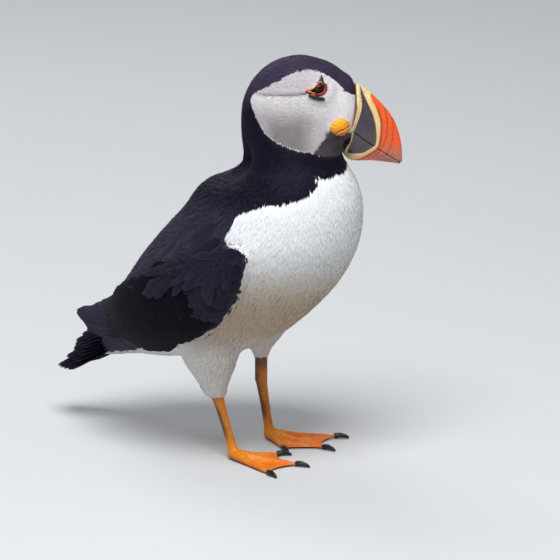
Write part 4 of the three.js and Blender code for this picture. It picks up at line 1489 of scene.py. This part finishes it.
def makeEyes():
    points, faces, colours = [], [], []
    rings, turns = 56, 64
    for side in sides.values():
        gaze = unit(np.array(ballPlan["gaze"]) * [1, side, 1])
        across = unit(np.cross(gaze, [0, 0, 1]))
        rise = np.cross(across, gaze)
        start = len(points)
        for ring in range(rings + 1):
            angle = math.pi * (ring / rings) ** 1.5
            for turn in range(turns):
                bearing = 2 * math.pi * turn / turns
                aside = across * math.cos(bearing) + rise * math.sin(bearing)
                way = gaze * math.cos(angle) + aside * math.sin(angle)
                off = ballPlan["radius"] * math.sin(angle) if angle < math.pi / 2 else 9
                bulge = ballPlan["corneaRise"] * max(0.0, 1 - (off / ballPlan["irisRadius"]) ** 2)
                points.append(fromHead(eyeSeat / mm * [1, side, 1] + way * (ballPlan["radius"] + bulge)))
                colours.append(eyeTint(off, bearing))
        for ring in range(rings):
            for turn in range(turns):
                a, b = start + ring * turns + turn, start + ring * turns + (turn + 1) % turns
                faces.append((a, a + turns, b + turns, b) if side > 0 else (a, a + turns, b + turns, b))
    mesh = meshOf("eyes", points, faces)
    welded = bmesh.new()
    welded.from_mesh(mesh)
    layer = welded.verts.layers.float_color.new("tint")
    for vertex, colour in zip(welded.verts, colours):
        vertex[layer] = (*colour, 1)
    bmesh.ops.remove_doubles(welded, verts=welded.verts, dist=1e-4 * mm)
    bmesh.ops.recalc_face_normals(welded, faces=welded.faces)
    welded.to_mesh(mesh)
    welded.free()
    setSmooth(mesh)
    # Tear film over the cornea: nearly a mirror at a slant, the brown showing through it.
    material, tree, shader = newMaterial("wetEye", Roughness=0.06, IOR=1.38)
    tintedGrain(tree, shader, 0.35, 2.0, 0.8, 1.15)
    finishPiece("eyes", mesh, material, "eye_surface", "eye_left", "eye_right")


makeEyes()


# Small bare parts: horn plates round the eyes, rosettes at the gape, claws.
smallColours = linearAll({
    "hornPlate": "#1e181d",
    "hornLight": "#40373e",
    "rosette": "#efa40e",
    "rosetteFoldShade": "#d3660f",
    "rosetteDot": "#3a2a1c",
    "claw": "#0e0b0b",
    "clawLight": "#2c2522",
})


def smallMaterial(name, rough, grain, relief=0.1):
    material, tree, shader = newMaterial(name, Roughness=rough, IOR=1.5)
    spots = tintedGrain(tree, shader, grain, 4.0, 0.82, 1.12)
    bump = addNode(tree, "ShaderNodeBump", {"Height": spots, "Strength": 0.3, "Distance": relief * mm})
    tree.links.new(bump.outputs["Normal"], shader.inputs["Normal"])
    return material


def makeEyeHorns():
    nodes = [f"eye_horn_{part}_{side}" for side in sides for part in ("upper", "lower")]
    mesh = refinedCopy("eyeHorns", nodes, 0.16, 8, grow=0.3 * mm)
    points, _ = shapeOf(mesh)
    head = toHead(points)
    high = head[:, 2] > 13
    foot, tip = head[high, 2].min(), head[high, 2].max()
    middle = np.mean(head[high, 0])
    spread = np.where(high, (head[:, 0] - middle) * (0.15 + 0.3 * smoothStep(18.5, 15, head[:, 2])), 0)
    rise = np.where(high, 12 + (head[:, 2] - foot) * (17.9 - 12) / (tip - foot) - head[:, 2], -1.0)
    points += headForward * ((spread - 0.4) * mm)[:, None] + up * (rise * mm)[:, None]
    out = np.where(high, 2.2 - 1.1 * (head[:, 2] - foot) / (tip - foot), 0.9)
    points += headSideways * (np.sign(head[:, 1]) * out * mm)[:, None]
    setPoints(mesh, points)
    fine = softNoise(points, 0.6 * mm, 15)
    pushOut(mesh, 0.1 * (fine - 0.5))
    high = smoothStep(15.5, 18.5, toHead(points)[:, 2])
    paint(mesh, mixed(smallColours["hornPlate"], smallColours["hornLight"], 0.25 * fine + 0.2 * high))
    # Horny plates grown on the bare skin, matt with a dull edge.
    finishPiece("eyeHorns", mesh, smallMaterial("eyePlateHorn", 0.5, 0.5), "dark_horn", *nodes)


rosetteDots = [(2.6, 2.6), (3.9, 0.9), (4.1, -0.9), (1.2, 1.9)]  # mm forward and up from its middle


def makeRosettes():
    nodes = [f"gape_{side}" for side in sides]
    mesh = refinedCopy("gapeRosettes", nodes, 0.22, 10, grow=0.2 * mm)
    points, _ = shapeOf(mesh)
    head = toHead(points)
    points += headForward * 0.8 * mm + headSideways * (np.sign(head[:, 1]) * 0.9 * mm)[:, None]
    setPoints(mesh, points)
    u, v = head[:, 0] - 23.4, head[:, 2] + 9.8
    across = v - 0.42 * u + 0.9 + 0.25 * np.sin(u * 1.3)  # the main fold slants up and forward
    fold = np.exp(-(across / 0.5) ** 2) * smoothStep(-5.4, -3, u)
    second = np.exp(-((across + 2.1 - 0.12 * u) / 0.4) ** 2) * smoothStep(-4, -1, u)
    third = np.exp(-((across - 2.6) / 0.35) ** 2) * smoothStep(1.5, 3.5, u)
    angle = np.arctan2(v, u)
    rim = np.hypot(u / 5.3, v / 4.6)
    radial = np.sin(angle * 17 + 2 * softNoise(points, 2 * mm, 17)) * smoothStep(0.6, 1, rim)
    fine = softNoise(points, 0.7 * mm, 16)
    pushOut(mesh, -0.75 * fold - 0.45 * second - 0.3 * third + 0.13 * radial + 0.2 * (fine - 0.5))
    # Painted shade in the folds and on the low side of the rosette.
    folded = 0.9 * fold + 0.8 * second + 0.5 * third + 0.25 * (fine - 0.4) + 0.35 * smoothStep(0, -3.5, v)
    colour = mixed(smallColours["rosette"], smallColours["rosetteFoldShade"], np.clip(folded, 0, 1))
    dots = [smoothStep(0.42, 0.2, np.hypot(u - a, v - b)) for a, b in rosetteDots]
    paint(mesh, mixed(colour, smallColours["rosetteDot"], np.max(dots, axis=0) * 0.85))
    # Soft warty skin at the corner of the mouth, moist enough for a low gloss.
    finishPiece("gapeRosettes", mesh, smallMaterial("gapeSkin", 0.42, 0.7, 0.2), "gape_skin", *nodes)


def makeClaws():
    nodes = [f"claw_{toe}_{side}" for side in sides for toe in ("outer", "middle", "inner")]
    mesh = refinedCopy("claws", nodes, 0.18, 8, grow=0.25 * mm)
    points, _ = shapeOf(mesh)
    points[:, 0] -= 1.1 * mm  # their roots sit in the toes
    fine = softNoise(points * [1, 1, 2], 0.8 * mm, 18)
    points[:, 2] = np.maximum(points[:, 2], 0.05 * mm)
    setPoints(mesh, points)
    pushOut(mesh, 0.05 * (fine - 0.5))
    paint(mesh, mixed(smallColours["claw"], smallColours["clawLight"], 0.5 * smoothStep(0.5, 0.9, fine)))
    # Hard black keratin worn to a dull shine on rock.
    finishPiece("claws", mesh, smallMaterial("clawHorn", 0.42, 0.9), "dark_horn", *nodes)


makeEyeHorns()
makeRosettes()
makeClaws()


# The skin's colours, with bare lids, legs and feet.
bareColours = linearAll({
    "lidRed": "#96301c",
    "lidDark": "#5c2a1c",
    "lidCorner": "#f08c22",
    "web": "#f07400",
    "toe": "#f08e08",
    "toeOuter": "#f09c18",
    "scute": "#a84a06",
    "shankFront": "#d07c0c",
    # also the painted shade at the top of the bare leg
    "shankDark": "#3e2f18",
    "sole": "#7a4a1c",
})


def skinColour(points, normals):
    colour = plumageColour(points)
    head = toHead(points)
    for side in sides.values():
        forward, high, far = roundEye(head, side)
        width = ringWidth(forward, high)
        ring = smoothStep(width + 0.35, width - 0.05, far)
        lid = mixed(bareColours["lidRed"], bareColours["lidDark"], smoothStep(0.25, -0.2, far))
        corner = np.maximum(smoothStep(-1.6, -2.6, forward), smoothStep(0.2, 1, high - forward - 2.4))
        lid = mixed(lid, bareColours["lidCorner"], corner * smoothStep(1.1, 0.5, far))
        colour = mixed(colour, lid, ring)
    height = points[:, 2] / mm
    fine = softNoise(points, 0.9 * mm, 19)
    broad = softNoise(points, 5 * mm, 20)
    foot = mixed(bareColours["web"], bareColours["toe"], smoothStep(2.2, 4.2, height))
    foot = mixed(foot, bareColours["toeOuter"], smoothStep(0.45, 0.8, broad) * 0.5)
    foot = mixed(foot, bareColours["sole"], smoothStep(-0.2, -0.8, normals[:, 2]) * 0.7)
    hind = smoothStep(0.35, -0.45, normals[:, 0] + 0.9 * (broad - 0.5)) * smoothStep(8, 16, height)
    shank = mixed(bareColours["shankFront"], bareColours["shankDark"], np.clip(hind, 0, 0.85))
    leg = mixed(foot, shank, smoothStep(7, 12, height))
    leg = mixed(leg, bareColours["scute"], 0.35 * smoothStep(0.62, 0.85, fine))
    # Painted shade on the top of the bare leg, under the belly's feathers.
    leg = mixed(leg, bareColours["shankDark"], 0.75 * smoothStep(34, 42, height))
    return mixed(colour, leg, smoothStep(1.5, -0.5, height - ankleAt(points) + 3 * (fine - 0.5)))


def finishSkin():
    setSmooth(skinMesh)
    points, normals = shapeOf(skinMesh)
    colour = skinColour(points, normals)
    onWing = marked(skinMesh, "onWing")
    colour = mixed(colour, plumage["back"] * 0.8, onWing * (1 - whiteOnBody(points)))
    paint(skinMesh, colour)
    leg = smoothStep(1, -2, points[:, 2] / mm - ankleAt(points))
    mark(skinMesh, "bareLeg", leg)
    # Skin under down, matt; on legs and feet a leathery hide of small scales with a dull wet shine.
    material, tree, shader = newMaterial("puffinHide", Roughness=0.6, IOR=1.45)
    tint = addNode(tree, "ShaderNodeAttribute", attribute_name="tint")
    bare = addNode(tree, "ShaderNodeAttribute", attribute_name="bareLeg")
    place = addNode(tree, "ShaderNodeTexCoord")
    scales = addNode(tree, "ShaderNodeTexVoronoi", {"Vector": place.outputs["Object"],
                                                    "Scale": 1 / (skinPlan["scaleSize"] * mm)},
                     feature="DISTANCE_TO_EDGE")
    rim = addNode(tree, "ShaderNodeMapRange", {"Value": scales.outputs["Distance"], "From Min": 0.0,
                                               "From Max": 0.22, "To Min": 0.0, "To Max": 1.0})
    seam = addNode(tree, "ShaderNodeMapRange", {"Value": rim.outputs["Result"], "To Min": 0.72,
                                                "To Max": 1.03})
    level = addNode(tree, "ShaderNodeMix", {0: bare.outputs["Fac"], 2: 1.0, 3: seam.outputs["Result"]},
                    data_type="FLOAT")
    shade = addNode(tree, "ShaderNodeMix", {6: tint.outputs["Color"], 7: level.outputs[0], 0: 1.0},
                    data_type="RGBA", blend_type="MULTIPLY")
    gloss = addNode(tree, "ShaderNodeMapRange", {"Value": bare.outputs["Fac"], "To Min": 0.75,
                                                 "To Max": 0.42})
    high = addNode(tree, "ShaderNodeMath", {0: rim.outputs["Result"], 1: bare.outputs["Fac"]},
                   operation="MULTIPLY")
    relief = addNode(tree, "ShaderNodeBump", {"Height": high.outputs["Value"], "Strength": 0.5,
                                              "Distance": 0.12 * mm})
    tree.links.new(shade.outputs[2], shader.inputs["Base Color"])
    tree.links.new(gloss.outputs["Result"], shader.inputs["Roughness"])
    tree.links.new(relief.outputs["Normal"], shader.inputs["Normal"])
    finishPiece("puffinSkin", skinMesh, material, "orange_skin", *fleshNodes, *legNodes)


finishSkin()


# Floor, light and camera.
stagePlan = {
    "turn": 34,  # degrees round from straight ahead of the bird's right side
    "rise": 15,
    "distance": 4.0,
    "frameWidth": 0.2912,
    "aim": [0.0413, 0.0, 0.0944],
    "floorSize": 3.0,
    "floorColour": "#c9cbcd",
    "worldColour": "#dfe3e8",
    "worldStrength": 0.42,
    "lightAim": (0.02, 0, 0.12),
    "sensorWidth": 36,
}
lamps = {
    "keyLight": {"spot": (0.35, -0.6, 1.45), "power": 26, "size": 0.9},
    "rimLight": {"spot": (-0.8, 0.5, 1.0), "power": 5, "size": 0.8},
}


def makeStage():
    size = stagePlan["floorSize"]
    corners = [(-size, -size, 0), (size, -size, 0), (size, size, 0), (-size, size, 0)]
    floor = newObject("studioFloor", meshOf("studioFloor", corners, [(0, 1, 2, 3)]))
    material, _, shader = newMaterial("studioPaper", Roughness=0.9)
    shader.inputs["Base Color"].default_value = (*linear(stagePlan["floorColour"]), 1)
    floor.data.materials.append(material)
    world = bpy.data.worlds.new("studio")
    bpy.context.scene.world = world
    world.use_nodes = True
    light = world.node_tree.nodes["Background"]
    light.inputs["Color"].default_value = (*linear(stagePlan["worldColour"]), 1)
    light.inputs["Strength"].default_value = stagePlan["worldStrength"]


def aimed(piece, spot, target):
    piece.location = spot
    piece.rotation_euler = (Vector(target) - Vector(spot)).to_track_quat("-Z", "Y").to_euler()
    bpy.context.scene.collection.objects.link(piece)


def makeLights():
    for name, lamp in lamps.items():
        light = bpy.data.lights.new(name, "AREA")
        light.energy = lamp["power"]
        light.size = lamp["size"]
        light.shape = "DISK"
        aimed(bpy.data.objects.new(name, light), lamp["spot"], stagePlan["lightAim"])


def makeCamera():
    turn, rise = math.radians(stagePlan["turn"]), math.radians(stagePlan["rise"])
    lens = bpy.data.cameras.new("camera")
    lens.sensor_width = stagePlan["sensorWidth"]
    lens.lens = stagePlan["sensorWidth"] * stagePlan["distance"] / stagePlan["frameWidth"]
    camera = bpy.data.objects.new("camera", lens)
    target = Vector(stagePlan["aim"])
    away = Vector((math.sin(turn) * math.cos(rise), -math.cos(turn) * math.cos(rise), math.sin(rise)))
    aimed(camera, target + away * stagePlan["distance"], target)
    bpy.context.scene.camera = camera


bpy.context.scene.view_settings.view_transform = "Standard"
makeStage()
makeLights()
makeCamera()
